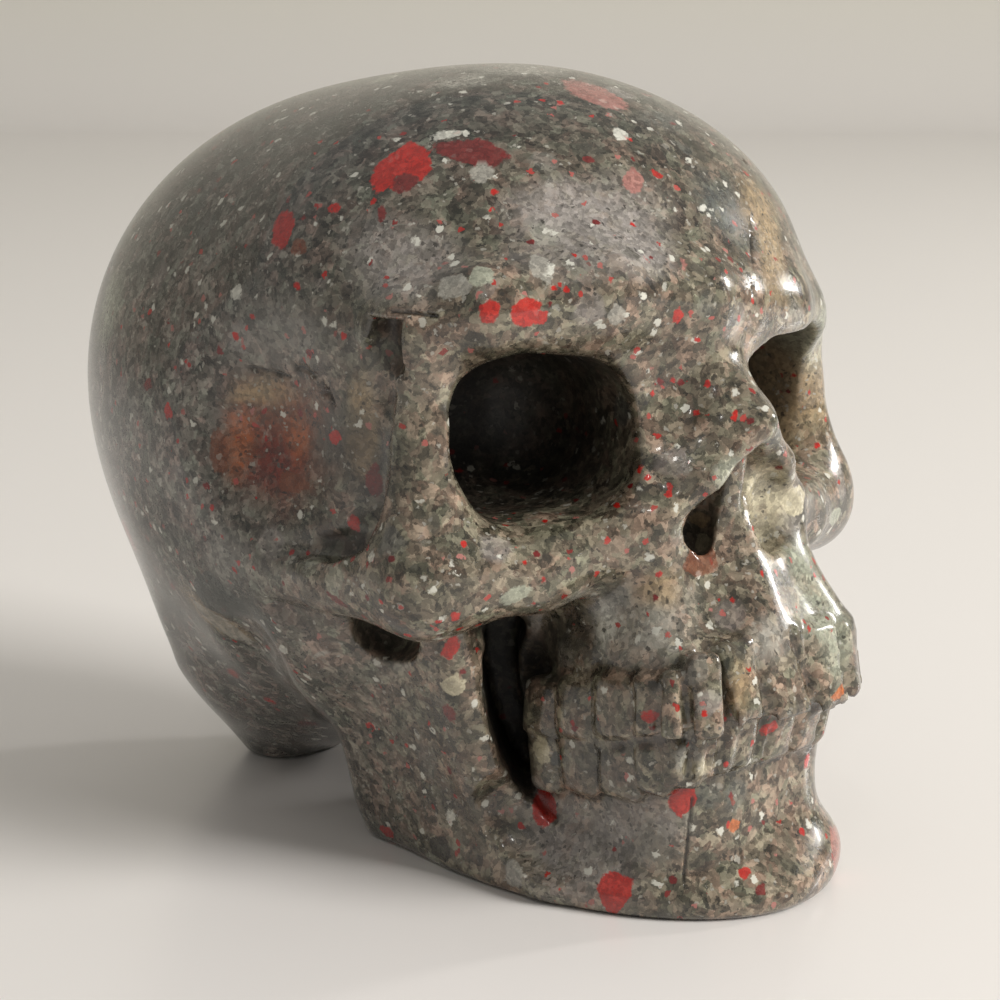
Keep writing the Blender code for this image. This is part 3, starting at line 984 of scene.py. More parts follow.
CLAST_ROWS: tuple[tuple, ...] = (
    # The first BLACK clast fills the right socket as painted shade, and the first TAN clast fills the left socket as
    # painted light on its lit wall.
    ("BLACK", -7.6, -12.8, 22.6, 5.6, 5.4, 4.4, 0, 0.31, 0.8), ("TAN", 8.8, -14.4, 22, 4.4, 5.4, 4.4, 0, 0.4, 0.7),
    ("RUST", -14.6, -5.8, 21.8, 3, 3.4, 2.7, 0, 0.45, 0.85),
    ("ORANGE", -15.1, -3.7, 21.5, 0.8, 1, 1.7, 0, 0.45, 0.45),
    ("WINE", -14.5, -5.6, 20.6, 1.4, 1.8, 1.3, 0, 0.45, 0.6),
    ("ORANGE", -14.3, -6.9, 21.9, 0.8, 0.9, 1, 0, 0.45, 0.45), ("TAN", -14.8, -5, 24, 1.5, 1.8, 0.7, -10, 0.45, 0.6),
    ("SHADE", -14.2, -9.3, 22, 1.2, 1.8, 1.6, 0, 0.45, 0.8), ("TAN", -14, -11, 22.8, 0.6, 0.9, 1.9, 0, 0.45, 0.55),
    ("SLATE", -14.4, -0.5, 13.2, 1.7, 2.6, 1.5, 20, 0.22, 0.85),
    # The second ASH clast, on the right maxilla, is partly a pale patch of the stone and partly painted light where
    # light grazes it.
    ("ASH", -13.2, 0.9, 11.5, 1.9, 2.2, 0.42, 36, 0.22, 0.75), ("ASH", -5.9, -20.6, 14.2, 2.6, 3, 1.5, 0, 0.45, 0.65),
    ("SAGE", 11.5, -16.6, 25.9, 2.2, 2.8, 2, 0, 0.45, 0.8), ("CREAM", 2, -21, 18.7, 1.3, 1.8, 2, 0, 0.45, 0.75),
    ("SAGE", -13, 9.8, 26.3, 0.9, 1.8, 1.7, 0, 0.45, 0.75),
    ("RED", -10.9, -10.2, 34.4, 1.83, 2.3, 0.78, -40, 0.22, 0.92),
    ("RED", -10.8, -10.8, 34.2, 1.01, 1.3, 0.64, -40, 0.22, 0.92), ("WINE", -8.4, -12.6, 35, 1.65, 2.1, 0.6, 10),
    ("RED", -14.2, -5.9, 31.4, 0.51, 1.2, 0.93, 8, 0.22, 0.92),
    ("CHALK", -8.4, -10.8, 35.8, 0.79, 1, 0.19, -8, 0.22, 0.8),
    ("LILAC", -13.1, -12.6, 30.4, 2.24, 2.8, 1.79, 20, 0.45, 0.62),
    ("LILAC", -5.8, -17.9, 31.8, 3.25, 4.1, 1.99, 0, 0.45, 0.62),
    ("LILAC", -6.7, -16.4, 32.8, 1.81, 2.3, 1.13, 0, 0.45, 0.62),
    ("SLATE", 2.6, -18.2, 32.4, 1.28, 2.4, 1.9, -15, 0.45, 0.62),
    ("BLACK", 3.7, -18.8, 31.2, 0.33, 2, 1.62, -8, 0.45, 0.62),
    ("ASH", -9.4, -17.9, 30.3, 0.57, 0.9, 0.75, 0, 0.22, 0.8),
    ("CHALK", -1.5, -15.2, 35.7, 0.38, 0.5, 0.38, 0, 0.22, 0.8),
    ("ASH", -8.8, -13.5, 34.2, 0.59, 0.7, 0.41, 0, 0.22, 0.8),
    ("RED", -12.3, -17.6, 28.6, 0.39, 0.7, 0.57, 15, 0.22, 0.92),
    ("RED", -10.7, -18.4, 28.5, 0.7, 0.9, 0.57, 0, 0.22, 0.92),
    ("PINK", -2.6, -17.1, 33.7, 0.51, 0.8, 0.65, 0, 0.22, 0.7),
    ("RED", -1.1, -17.1, 33.9, 0.28, 0.3, 0.23, 0, 0.22, 0.92), ("WINE", -4.2, -15.7, 34.7, 0.28, 0.3, 0.18, 0),
    ("SAGE", 10.4, -17.5, 25.8, 1.31, 1.6, 0.86, 10, 0.45, 0.62),
    ("CHALK", -15.3, -3.7, 28.5, 0.38, 0.5, 0.38, 30, 0.22, 0.8),
    ("GREY", -15.1, -7.1, 27, 3.03, 3.8, 1.93, 0, 0.45, 0.62),
    ("TAN", -14.1, -11.1, 23.2, 0.63, 2.5, 2.04, 0, 0.45, 0.62),
    ("TAN", -14.9, -4.2, 23.7, 1.41, 1.8, 0.38, -15, 0.45, 0.62),
    ("RED", -14.2, -9.5, 22.3, 0.37, 0.5, 0.37, 0, 0.22, 0.92), ("WINE", -13.6, -11.4, 20.3, 0.36, 0.8, 0.64, 0),
    ("RED", -13.9, -10.4, 18.3, 0.28, 0.5, 0.41, 0, 0.22, 0.92),
    ("RED", -16.1, 0.6, 22.5, 0.29, 0.5, 0.39, 0, 0.22, 0.92),
    ("SLATE", -14.9, -2.7, 13.9, 1.93, 2.4, 1.45, 25, 0.45, 0.62),
    ("SLATE", -13.9, -4, 12.2, 0.97, 1.2, 0.58, 20, 0.45, 0.62),
    ("ASH", -15.6, -2.4, 15.4, 0.67, 1.2, 0.96, 0, 0.45, 0.62),
    ("TAN", -13.2, 1, 11.6, 1.9, 2.4, 0.55, 38, 0.45, 0.62),
    ("CHALK", -13.3, -4.4, 11.1, 0.34, 0.4, 0.29, 0, 0.22, 0.8),
    ("SAGE", -13.3, 8.8, 26.7, 0.67, 1.9, 1.54, 0, 0.45, 0.62),
    ("CHALK", -6.2, -19, 13.7, 0.51, 1.1, 0.87, 0, 0.45, 0.62),
    ("SAGE", -11.2, -18.1, 15.8, 0.76, 0.9, 0.36, -30, 0.22, 0.8),
    ("ASH", -8.3, -15.1, 1.2, 0.38, 0.9, 0.72, 0, 0.22, 0.8), ("RED", -6.1, -15.1, 4, 0.58, 1, 0.82, 0, 0.22, 0.92),
    ("RED", -4.8, -22.7, 5.9, 0.65, 0.9, 0.74, 0, 0.22, 0.92),
    ("RED", -6.7, -20.2, 1.2, 0.75, 1.2, 0.94, 15, 0.22, 0.92),
    ("RED", -2.2, -24.2, 2.1, 0.28, 0.4, 0.28, 0, 0.22, 0.92),
    ("ORANGE", -2.3, -23.6, 4.3, 0.42, 0.5, 0.33, 0, 0.22, 0.8),
    ("LILAC", -6.5, -17.4, 2.8, 2.86, 3.6, 2, 15, 0.45, 0.62),
    ("LILAC", -5.7, -20.8, 4.2, 1.87, 2.3, 1.4, 0, 0.45, 0.62),
    ("BLACK", -8.2, -9.8, 1.2, 0.64, 0.9, 0.74, 0, 0.22, 0.8),
    ("TAN", -3.4, -24.7, 11.5, 0.59, 1.5, 1.23, 0, 0.45, 0.62),
    ("CREAM", 2.5, -21.1, 18.6, 1.14, 2.7, 2.14, 0, 0.45, 0.62),
    ("CREAM", 4.1, -21.6, 18.5, 0.77, 1, 0.67, 0, 0.22, 0.8), ("SAGE", 3.3, -24, 14.2, 1.14, 2.4, 1.9, 0, 0.45, 0.62),
    ("SAGE", 12, -17.8, 16, 0.72, 0.9, 0.51, 0, 0.22, 0.8), ("PINK", 4.6, -24.4, 1.6, 0.49, 1.8, 1.48, 0, 0.22, 0.7),
    ("CREAM", -5.3, -24.1, 7.7, 1, 1.3, 0.41, -15, 0.45, 0.62),
    ("CREAM", -6.8, -15.5, 7, 0.43, 0.8, 0.66, 0, 0.22, 0.8),
    ("SHADE", -6.8, -19.2, 7.1, 2.09, 2.6, 0.93, -5, 0.45, 0.62),
    ("RED", -1.1, -24.6, 8.9, 0.42, 0.5, 0.37, 0, 0.22, 0.92),
    ("RED", -7, -22.5, 10.3, 0.41, 0.5, 0.27, 0, 0.22, 0.92), ("WINE", -10.6, -13.1, 9.2, 0.28, 0.6, 0.52, -25),
    ("RED", -11.3, -12.5, 11, 0.23, 0.5, 0.37, -30, 0.22, 0.92),
    ("RED", -11.3, -14, 12.6, 0.37, 0.9, 0.69, 30, 0.22, 0.92),
    ("RED", -13.8, -17, 15.1, 0.27, 0.3, 0.27, 0, 0.22, 0.92), ("RED", -9.9, -6.7, 7, 0.25, 0.4, 0.29, 0, 0.22, 0.92),
    ("WINE", -5.2, 3.6, 4, 0.54, 0.7, 0.32, -20), ("RED", -9.4, 4.6, 7.4, 0.32, 0.6, 0.47, 0, 0.22, 0.92),
    ("RED", -7.6, 3.9, 5.7, 0.42, 0.5, 0.21, 30, 0.22, 0.92),
    ("RED", -13.2, -8.4, 32.6, 0.32, 0.4, 0.23, 0, 0.22, 0.92), ("WINE", -12.5, -10.9, 32.4, 0.18, 0.6, 0.45, 0),
    ("CREAM", -10.9, -13.8, 10.7, 0.56, 0.8, 0.65, 0, 0.22, 0.8),
    ("ASH", -12.8, -15.9, 29.6, 0.7, 0.9, 0.61, 0, 0.22, 0.8),
    ("SAGE", -12, -16.7, 30.1, 0.53, 0.8, 0.61, 0, 0.22, 0.8),
    ("RUST", -2.8, -21.7, 16.7, 0.92, 1.1, 0.64, 0, 0.25, 0.7),
    ("TAN", -5.2, -21.3, 15.6, 0.91, 1.1, 0.91, 0, 0.45, 0.62),
    ("CREAM", -1.3, -20.7, 17, 0.65, 0.8, 0.47, 0, 0.22, 0.8),
    ("TAN", 4.9, -19.1, 30.1, 0.58, 3.6, 2.89, 0, 0.45, 0.62),
    ("ORANGE", 3.2, -25.3, 10, 0.67, 0.8, 0.24, -20, 0.22, 0.8),
    ("ASH", -1.2, -8.3, 38.5, 1.96, 2.5, 0.29, 5, 0.45, 0.62),
    ("ASH", -4.7, -7.7, 38, 1.45, 1.8, 0.29, -5, 0.45, 0.62), ("PINK", 0, -12.3, 37.4, 1.64, 2, 0.43, 20, 0.22, 0.7),
    ("WINE", -11.2, -11, 33.7, 0.64, 0.8, 0.41, -20), ("RED", -10.1, -18.6, 28.2, 0.35, 0.4, 0.31, 0, 0.22, 0.92),
    ("WINE", -13.6, -11.5, 21, 0.23, 0.4, 0.32, 0), ("TAN", 5.6, -17.7, 32.2, 0.97, 2.6, 2.04, 0, 0.45, 0.62),
    ("OLIVE", -5.5, -21.6, 3.4, 1.12, 1.6, 1.31, 0, 0.45, 0.62), ("WINE", -15.5, -10.9, 15.1, 0.18, 0.7, 0.55, -60),
    ("RED", 1.7, -23.6, 5.7, 0.24, 0.3, 0.24, 0, 0.22, 0.92), ("WINE", -2, -25, 1.4, 0.28, 0.4, 0.28, 0),
    ("RED", 3, -23.5, 6.2, 0.15, 0.4, 0.34, 0, 0.22, 0.92),
    ("RUST", -14.4, -7.4, 30.8, 0.46, 0.6, 0.37, 0, 0.22, 0.8), ("WINE", -15.7, 2.7, 23.5, 0.34, 0.4, 0.29, 0),
    ("RED", -7.8, -5.5, 0.8, 0.46, 0.6, 0.41, 0, 0.22, 0.92),
    ("RED", -3.5, -20.7, 27.9, 0.23, 0.5, 0.41, 10, 0.22, 0.92),
    ("PINK", -2.5, -20.1, 30.2, 0.14, 0.5, 0.36, 0, 0.22, 0.7),
    ("CHALK", -9.1, -18.2, 30.2, 0.18, 0.5, 0.4, 10, 0.22, 0.8),
    ("ASH", -7, -20.2, 28.2, 0.4, 0.6, 0.44, 0, 0.22, 0.8),
    ("CHALK", -7.6, -19.7, 27.9, 0.18, 0.2, 0.18, 0, 0.22, 0.8),
    ("ASH", -12.5, 0, 32.3, 0.34, 0.4, 0.29, 0, 0.22, 0.8), ("CHALK", -8.5, -11, 3.1, 0.19, 0.5, 0.44, 0, 0.22, 0.8),
    ("SLATE", -6.6, -16.2, 6.8, 0.24, 0.5, 0.38, 0, 0.22, 0.8),
    ("CHALK", -15.8, -13.6, 17.6, 0.27, 0.3, 0.27, 0, 0.22, 0.8),
    ("ASH", -12.9, -6.6, 11.2, 0.43, 0.5, 0.14, -30, 0.22, 0.8),
    ("RUST", -15.7, -2.7, 20.9, 0.43, 1.4, 1.14, 0, 0.25, 0.7),
    ("RUST", -14.6, -6.9, 19.8, 0.79, 1, 0.56, 0, 0.22, 0.8),
    ("GREY", -15.8, -3.3, 16, 0.96, 1.7, 1.34, 0, 0.45, 0.62),
    ("SLATE", -14.2, -4.1, 12.6, 0.96, 1.2, 0.68, 10, 0.45, 0.62),
    ("SHADE", -8.9, -12, 4.3, 1.45, 1.8, 1.45, 0, 0.45, 0.62),
    ("LILAC", -4.5, -19.3, 30.8, 1.54, 1.9, 1.36, 0, 0.45, 0.62),
    ("SHADE", -3.7, -15.4, 35.1, 0.83, 1, 0.46, 0, 0.45, 0.62),
    ("SLATE", 2.1, -14.4, 36.2, 1.26, 1.6, 0.48, 10, 0.45, 0.62),
    ("SAGE", 3.3, -22.6, 15.9, 0.86, 1.2, 0.95, 0, 0.45, 0.62),
    ("SHADE", -6.2, -16.1, 12.5, 1.88, 2.3, 1.03, 10, 0.45, 0.62),
    ("ASH", -1.1, -24.5, 13.1, 0.74, 1.5, 1.2, 10, 0.45, 0.62),
    ("SAGE", 3.7, -24.7, 11.8, 0.76, 2, 1.62, 0, 0.45, 0.62),
    ("TAN", -1.3, -20.3, 18.1, 0.56, 0.7, 0.37, 0, 0.22, 0.8),
    ("OLIVE", -14.2, -10.5, 23.2, 1, 1.2, 0.73, 0, 0.45, 0.62),
    ("BLACK", -14, -10.9, 22.3, 0.64, 1.2, 1, 0, 0.45, 0.62), ("RED", 6.7, -11.6, 10.5, 0.73, 1.2, 1.22, -2),
    ("WINE", 15.9, 0.2, 24.9, 0.38, 0.9, 0.93, 20), ("CHALK", 6.4, 13.6, 6, 0.43, 0.5, 0.52, -33),
    ("RED", -12.1, 9.8, 14.4, 1.02, 1, 0.92, -27), ("LILAC", 7.9, -9.5, 21.4, 2.06, 2.2, 2.19, 1, 0.45, 0.62),
    ("SAGE", 10.8, -2.8, 8, 1.1, 1.1, 0.48, -15), ("RED", 8.1, 14.7, 29.5, 0.62, 0.7, 0.75, -28),
    ("WINE", 11.2, -12.6, 33.5, 0.72, 0.8, 0.81, -55), ("ASH", 14.8, -1, 13.8, 0.58, 0.6, 0.28, -48),
    ("SLATE", 12.2, 12.5, 23.7, 1.88, 2.3, 2.35, -21, 0.45, 0.62), ("RED", 1.4, 9.8, 36.1, 1.15, 1.1, 0.48, 36),
    ("PINK", 15, -10, 14.3, 0.81, 0.8, 0.76, 27), ("CHALK", -6.1, 15.8, 30.3, 0.37, 0.4, 0.43, -45),
    ("RED", -0.8, 17.9, 30.3, 1.17, 1.2, 1.18, 55), ("WINE", 5, 3.2, 37, 0.97, 1, 0.42, 58),
    ("CHALK", 15.4, 5.1, 21.9, 0.51, 0.5, 0.43, 55), ("RED", -6.8, 14.6, 9.6, 1.17, 1.2, 0.42, 35),
    ("LILAC", 4, -1.3, 38, 1.85, 1.9, 1.93, -38, 0.45, 0.62), ("SAGE", 11, -4.3, 35.2, 1.22, 1.2, 0.39, 26),
    ("RED", -2.5, 16.2, 7.5, 1.19, 1.2, 0.7, -15), ("WINE", 10, 9.2, 9.5, 0.54, 1.1, 1.1, -35),
    ("ASH", 12, 11.7, 17.1, 0.35, 0.7, 0.68, 53), ("SLATE", 12.3, -16.1, 27.1, 2.34, 2.3, 2.25, -45, 0.45, 0.62),
    ("RED", 7.2, 3.3, 5.5, 0.64, 0.7, 0.65, -46), ("PINK", -5.9, 9.2, 35, 0.75, 0.8, 0.43, 36),
    ("CHALK", 8.5, 16.9, 19.5, 0.43, 0.4, 0.42, -22),
)
CLASTS: tuple[Clast, ...] = tuple(
    Clast((x, y, z), (wide, deep, high), Tint[tint], lean, *(how or (0.22, 0.9)))
    for tint, x, y, z, wide, deep, high, lean, *how in CLAST_ROWS
)
SPOTS: tuple[Rod, ...] = (
    (-10.4, -4.3, 35.3, 0.21), (-11.1, -4.7, 34.8, 0.17), (-11.2, -1.0, 34.0, 0.21), (-13.2, -8.4, 32.6, 0.13),
    (-12.4, -10.2, 32.9, 0.17), (-13.7, -6.9, 32.1, 0.15), (-13.9, 1.1, 29.9, 0.20), (-13.9, 2.5, 29.3, 0.14),
    (-14.6, 0.1, 28.9, 0.20), (-14.8, -2.4, 29.2, 0.17), (-14.8, 3.7, 26.9, 0.21), (-15.2, 1.6, 26.6, 0.17),
    (-15.5, 1.2, 25.6, 0.16), (-15.8, -0.6, 25.0, 0.19), (-15.6, -2.9, 25.7, 0.21), (-15.4, -5.1, 27.5, 0.15),
    (-15.5, -3.9, 26.5, 0.20), (-14.8, -8.4, 26.1, 0.20), (-14.9, -12.5, 27.3, 0.13), (-14.7, -10.7, 27.1, 0.17),
    (-14.2, -7.0, 23.1, 0.18), (-15.0, -7.9, 29.1, 0.20), (-14.6, -9.3, 29.7, 0.17), (-6.3, -13.1, 35.8, 0.13),
    (-2.6, -12.4, 37.1, 0.17), (-1.2, -15.5, 35.4, 0.16), (2.9, -14.6, 36.0, 0.17), (-4.5, -11.4, 37.2, 0.20),
    (-3.3, -11.9, 37.2, 0.15), (-1.9, -16.4, 34.6, 0.14), (-8.9, -14.4, 33.4, 0.16), (-9.4, -14.8, 32.6, 0.17),
    (-5.7, -17.7, 32.1, 0.19), (-3.9, -18.3, 31.9, 0.17), (-7.8, -18.4, 30.8, 0.14), (-8.8, -16.7, 31.3, 0.19),
    (0.3, -21.1, 27.5, 0.16), (-2.1, -20.7, 26.7, 0.17), (-4.2, -19.7, 30.5, 0.16), (-9.4, -18.7, 29.5, 0.13),
    (-8.9, -19.0, 29.4, 0.17), (0.8, -20.1, 30.1, 0.19), (-14.9, -8.2, 16.8, 0.14), (-15.1, -7.3, 16.6, 0.16),
    (-15.9, -13.5, 15.7, 0.15), (-16.0, -14.5, 15.7, 0.13), (-14.5, -16.6, 14.9, 0.13), (-10.8, -11.3, 12.2, 0.20),
    (-14.9, -15.0, 14.1, 0.19), (-16.1, -2.6, 18.2, 0.16), (-16.1, -2.2, 19.2, 0.19), (-12.4, -4.2, 9.8, 0.13),
    (-13.3, 4.4, 12.7, 0.22), (-10.7, -14.2, 11.4, 0.17), (-13.3, -17.0, 18.3, 0.18), (-10.3, -11.4, 8.3, 0.15),
    (-9.9, -6.8, 7.0, 0.16), (-9.7, -8.6, 6.8, 0.16), (-9.8, -11.9, 6.9, 0.21), (-9.4, -8.4, 5.9, 0.16),
    (-9.4, -8.2, 5.7, 0.17), (-9.0, -9.0, 4.6, 0.21), (-9.5, -12.0, 5.9, 0.20), (-8.2, -12.3, 1.9, 0.16),
    (0.8, -23.8, 3.8, 0.15), (-2.6, -23.6, 5.8, 0.19), (-3.7, -24.2, 7.7, 0.13), (-5.1, -22.3, 3.7, 0.15),
    (-5.1, -22.3, 2.0, 0.20), (2.0, -24.2, 3.1, 0.21), (-3.9, -23.2, 4.0, 0.14), (-6.9, -22.6, 9.7, 0.12),
    (-6.0, -24.9, 10.7, 0.18), (-4.0, -24.3, 9.9, 0.17), (-9.7, -18.7, 28.8, 0.13), (-7.0, -22.5, 10.4, 0.16),
    (-3.8, -19.5, 24.3, 0.12), (-3.4, -19.6, 24.8, 0.18), (-4.8, -19.7, 20.9, 0.16), (-4.8, -20.2, 20.6, 0.18),
    (-5.3, -19.5, 20.2, 0.13), (-2.2, -20.8, 23.3, 0.17), (-1.3, -22.3, 23.4, 0.15), (-0.9, -22.9, 23.1, 0.16),
    (-1.4, -22.4, 23.2, 0.15), (-4.4, -21.1, 19.9, 0.17), (-5.7, -16.5, 19.1, 0.17), (-6.1, -19.5, 19.4, 0.17),
    (-10.8, -18.3, 17.3, 0.12), (-10.2, -18.5, 17.6, 0.13), (-10.1, -18.8, 16.5, 0.12), (-5.1, -21.2, 16.3, 0.15),
    (-5.4, -21.3, 15.3, 0.16), (-1.7, -22.7, 14.8, 0.13), (0.0, -23.0, 15.8, 0.18), (0.6, -23.5, 14.9, 0.16),
    (1.7, -23.8, 14.0, 0.16), (4.5, -22.5, 15.6, 0.18), (2.1, -22.2, 20.4, 0.20), (12.3, -16.3, 19.4, 0.19),
    (11.7, -15.2, 23.0, 0.14), (11.6, -14.9, 22.2, 0.15), (-1.6, -20.9, 24.6, 0.18), (-2.8, -19.8, 24.8, 0.15),
    (-2.4, -20.0, 24.7, 0.18), (-8.7, -17.5, 18.8, 0.16), (-10.2, -16.5, 18.6, 0.15), (-14.0, -13.1, 19.8, 0.18),
    (-13.8, -13.4, 20.2, 0.13), (-15.2, -12.5, 14.5, 0.14), (-15.1, -13.4, 14.2, 0.14), (-6.4, -8.9, 20.5, 0.16),
    (-6.6, -9.7, 19.7, 0.20), (-15.8, -15.0, 17.7, 0.18), (-4.3, -10.1, 11.0, 0.20), (-4.1, -10.2, 10.2, 0.18),
    (-6.3, -19.3, 13.1, 0.12), (-6.9, -20.7, 8.0, 0.14), (-7.2, -19.6, 9.6, 0.16), (-7.2, -18.0, 8.8, 0.20),
    (-6.9, -18.7, 10.2, 0.15),
)


@dataclass(frozen=True)
class Crack:
    """A hairline crack: its line on the surface, its half width and its depth, in millimetres."""

    line: tuple[Triple, ...]
    wide: float
    deep: float

    def away(self, places: np.ndarray) -> np.ndarray:
        """How far each place is from the crack's line.

        Args:
            places: Places, in millimetres.

        Returns:
            The distances, in millimetres.
        """
        nearest = np.full(len(places), 1e9)
        for start, end in zip(self.line, self.line[1:]):
            along = np.subtract(end, start)
            share = np.clip(((places - start) @ along) / (along @ along), 0.0, 1.0)
            nearest = np.minimum(nearest, np.linalg.norm(places - start - share[:, None] * along, axis=1))
        return nearest


CRACKS: tuple[Crack, ...] = (
    Crack(((-15.08, -4.44, 25.05), (-14.88, -5.07, 25.00), (-14.51, -6.65, 24.76)), 0.13, 0.16),
    Crack(((-14.61, -7.07, 25.28), (-14.59, -7.84, 25.31), (-14.44, -9.26, 24.44), (-14.36, -9.51, 23.90)), 0.13, 0.16),
    Crack(((7.36, -15.25, 34.11), (4.01, -18.58, 31.36), (1.58, -20.77, 28.65), (1.05, -20.83, 26.75)), 0.10, 0.10),
    Crack(((-14.66, -13.85, 28.48), (-14.24, -14.63, 28.47), (-13.63, -15.64, 28.33)), 0.15, 0.20),
    Crack(((-5.39, -23.71, 7.44), (-4.50, -22.89, 5.86), (-4.71, -22.66, 2.47), (-4.99, -22.70, 0.22)), 0.11, 0.12),
)


@dataclass(frozen=True)
class Pattern:
    """The clasts, the cracks and the painted shade of the hollows and creases, laid onto a mesh as attributes of its
    vertices.
    """

    clasts: tuple[Clast, ...] = CLASTS
    spots: tuple[Rod, ...] = SPOTS
    cracks: tuple[Crack, ...] = CRACKS
    soft: float = 0.3
    band: float = 0.2
    rays: int = 14
    far: float = 16.0
    # Painted shade: ellipsoids in the right socket, the crescent gap behind the right teeth, the notch beside the right
    # eye and the fold above the cheek arch, where the stone's colour is darkened as if in shadow.
    shade: tuple[tuple[Triple, Triple, float], ...] = (
        ((-8.1, -12.2, 22.6), (4.9, 6.2, 4.3), 1.0),
        ((-5.9, -12.0, 8.6), (2.0, 3.4, 5.2), 1.0),
        ((-13.6, -13.2, 26.9), (1.0, 1.3, 1.5), 0.70),
        ((-13.9, -10.2, 17.4), (1.2, 2.2, 0.6), 0.60),
    )

    def patches(self) -> list[Clast]:
        """The large clasts with soft edges.

        Returns:
            Those clasts.
        """
        return [clast for clast in self.clasts if clast.ragged > self.soft]

    def crisp(self) -> list[Clast]:
        """The clasts with clear edges, and the small red spots.

        Returns:
            Those clasts.
        """
        found = [clast for clast in self.clasts if clast.ragged <= self.soft]
        for index, (x, y, z, size) in enumerate(self.spots):
            found.append(Clast((x, y, z), (size, size, size), Tint.WINE if index % 3 == 2 else Tint.RED))
        return found

    @staticmethod
    def places(mesh: bpy.types.Mesh) -> np.ndarray:
        """The vertices' places, in millimetres from the form's origin.

        Args:
            mesh: The mesh, in metres.

        Returns:
            One row for each vertex.
        """
        flat = np.empty(len(mesh.vertices) * 3, np.float32)
        mesh.vertices.foreach_get("co", flat)
        return flat.reshape(-1, 3).astype(float) / MM - (0.0, BACKWARD, 0.0)

    @staticmethod
    def normals(mesh: bpy.types.Mesh) -> np.ndarray:
        """The directions that the surface faces at the vertices.

        Args:
            mesh: The mesh.

        Returns:
            One row for each vertex.
        """
        flat = np.empty(len(mesh.vertices) * 3, np.float32)
        mesh.vertex_normals.foreach_get("vector", flat)
        return flat.reshape(-1, 3)

    @staticmethod
    def edges(mesh: bpy.types.Mesh) -> tuple[np.ndarray, np.ndarray]:
        """The mesh's edges.

        Args:
            mesh: The mesh.

        Returns:
            Both ends of each edge, and how many edges each vertex has.
        """
        ends = np.empty(len(mesh.edges) * 2, np.int32)
        mesh.edges.foreach_get("vertices", ends)
        ends = ends.reshape(-1, 2)
        return ends, np.maximum(np.bincount(ends.ravel(), minlength=len(mesh.vertices)), 1)

    @staticmethod
    def spread(values: np.ndarray, ends: np.ndarray, count: np.ndarray, rounds: int) -> np.ndarray:
        """Evens numbers out between neighbouring vertices.

        Args:
            values: A number for each vertex.
            ends: Both ends of each edge.
            count: How many edges each vertex has.
            rounds: How many times the numbers are evened out.

        Returns:
            The evened numbers.
        """
        for _ in range(rounds):
            around = np.bincount(ends[:, 0], values[ends[:, 1]], len(values))
            around += np.bincount(ends[:, 1], values[ends[:, 0]], len(values))
            values = values * 0.4 + around / count * 0.6
        return values

    def hollows(self, mesh: bpy.types.Mesh) -> np.ndarray:
        """Finds how closed in each vertex is, from the rays that meet the stone again; the result is painted into the
        stone's colour as shade.

        Args:
            mesh: The mesh.

        Returns:
            A number for each vertex, 0 in the open and 1 deep inside a hollow.
        """
        places = self.places(mesh)
        normals = self.normals(mesh).astype(float)
        turn = np.arange(self.rays) * math.pi * (3.0 - math.sqrt(5.0))
        height = 1.0 - (np.arange(self.rays) + 0.5) * 2.0 / self.rays
        reach = np.sqrt(1.0 - height ** 2)
        sphere = np.stack((reach * np.cos(turn), reach * np.sin(turn), height), axis=1)
        stone = BVHTree.FromPolygons(places.tolist(), [tuple(face.vertices) for face in mesh.polygons])
        starts = (places + normals * 0.2).tolist()
        met = np.zeros(len(places))
        for ray in sphere:
            ways = (normals + ray * 0.97).tolist()
            met += [
                stone.ray_cast(start, way, self.far)[3] is not None for start, way in zip(starts, ways)
            ]
        closed = met / self.rays
        ends, count = self.edges(mesh)
        closed = self.spread(closed, ends, count, rounds=5)
        return np.clip((closed - 0.45) / 0.40, 0.0, 1.0)

    def crevices(self, mesh: bpy.types.Mesh) -> None:
        """Writes down how deep in a crease each vertex is, from 0 to 1; the material darkens the colour by it as
        painted shade.

        Args:
            mesh: The mesh.
        """
        places = self.places(mesh)
        normals = self.normals(mesh)
        ends, count = self.edges(mesh)
        bend = np.zeros(len(places))
        for one, other in ((0, 1), (1, 0)):
            step = places[ends[:, other]] - places[ends[:, one]]
            length = np.maximum(np.linalg.norm(step, axis=1), 0.05)
            rise = np.einsum("ij,ij->i", normals[ends[:, one]], step) / length ** 2
            bend += np.bincount(ends[:, one], rise, len(places))
        bend = np.clip(bend / count, -0.6, 2.0)
        bend = self.spread(bend, ends, count, rounds=4)
        self.write(mesh, "crevice", np.clip(bend / 0.8, 0.0, 1.0))

    @staticmethod
    def write(mesh: bpy.types.Mesh, name: str, values: np.ndarray) -> None:
        """Adds an attribute to the vertices.

        Args:
            mesh: The mesh.
            name: The attribute's name.
            values: One number or one colour for each vertex.
        """
        kind, item = ("FLOAT", "value") if values.ndim == 1 else ("FLOAT_COLOR", "color")
        mesh.attributes.new(name, kind, "POINT").data.foreach_set(item, values.astype(np.float32).ravel())

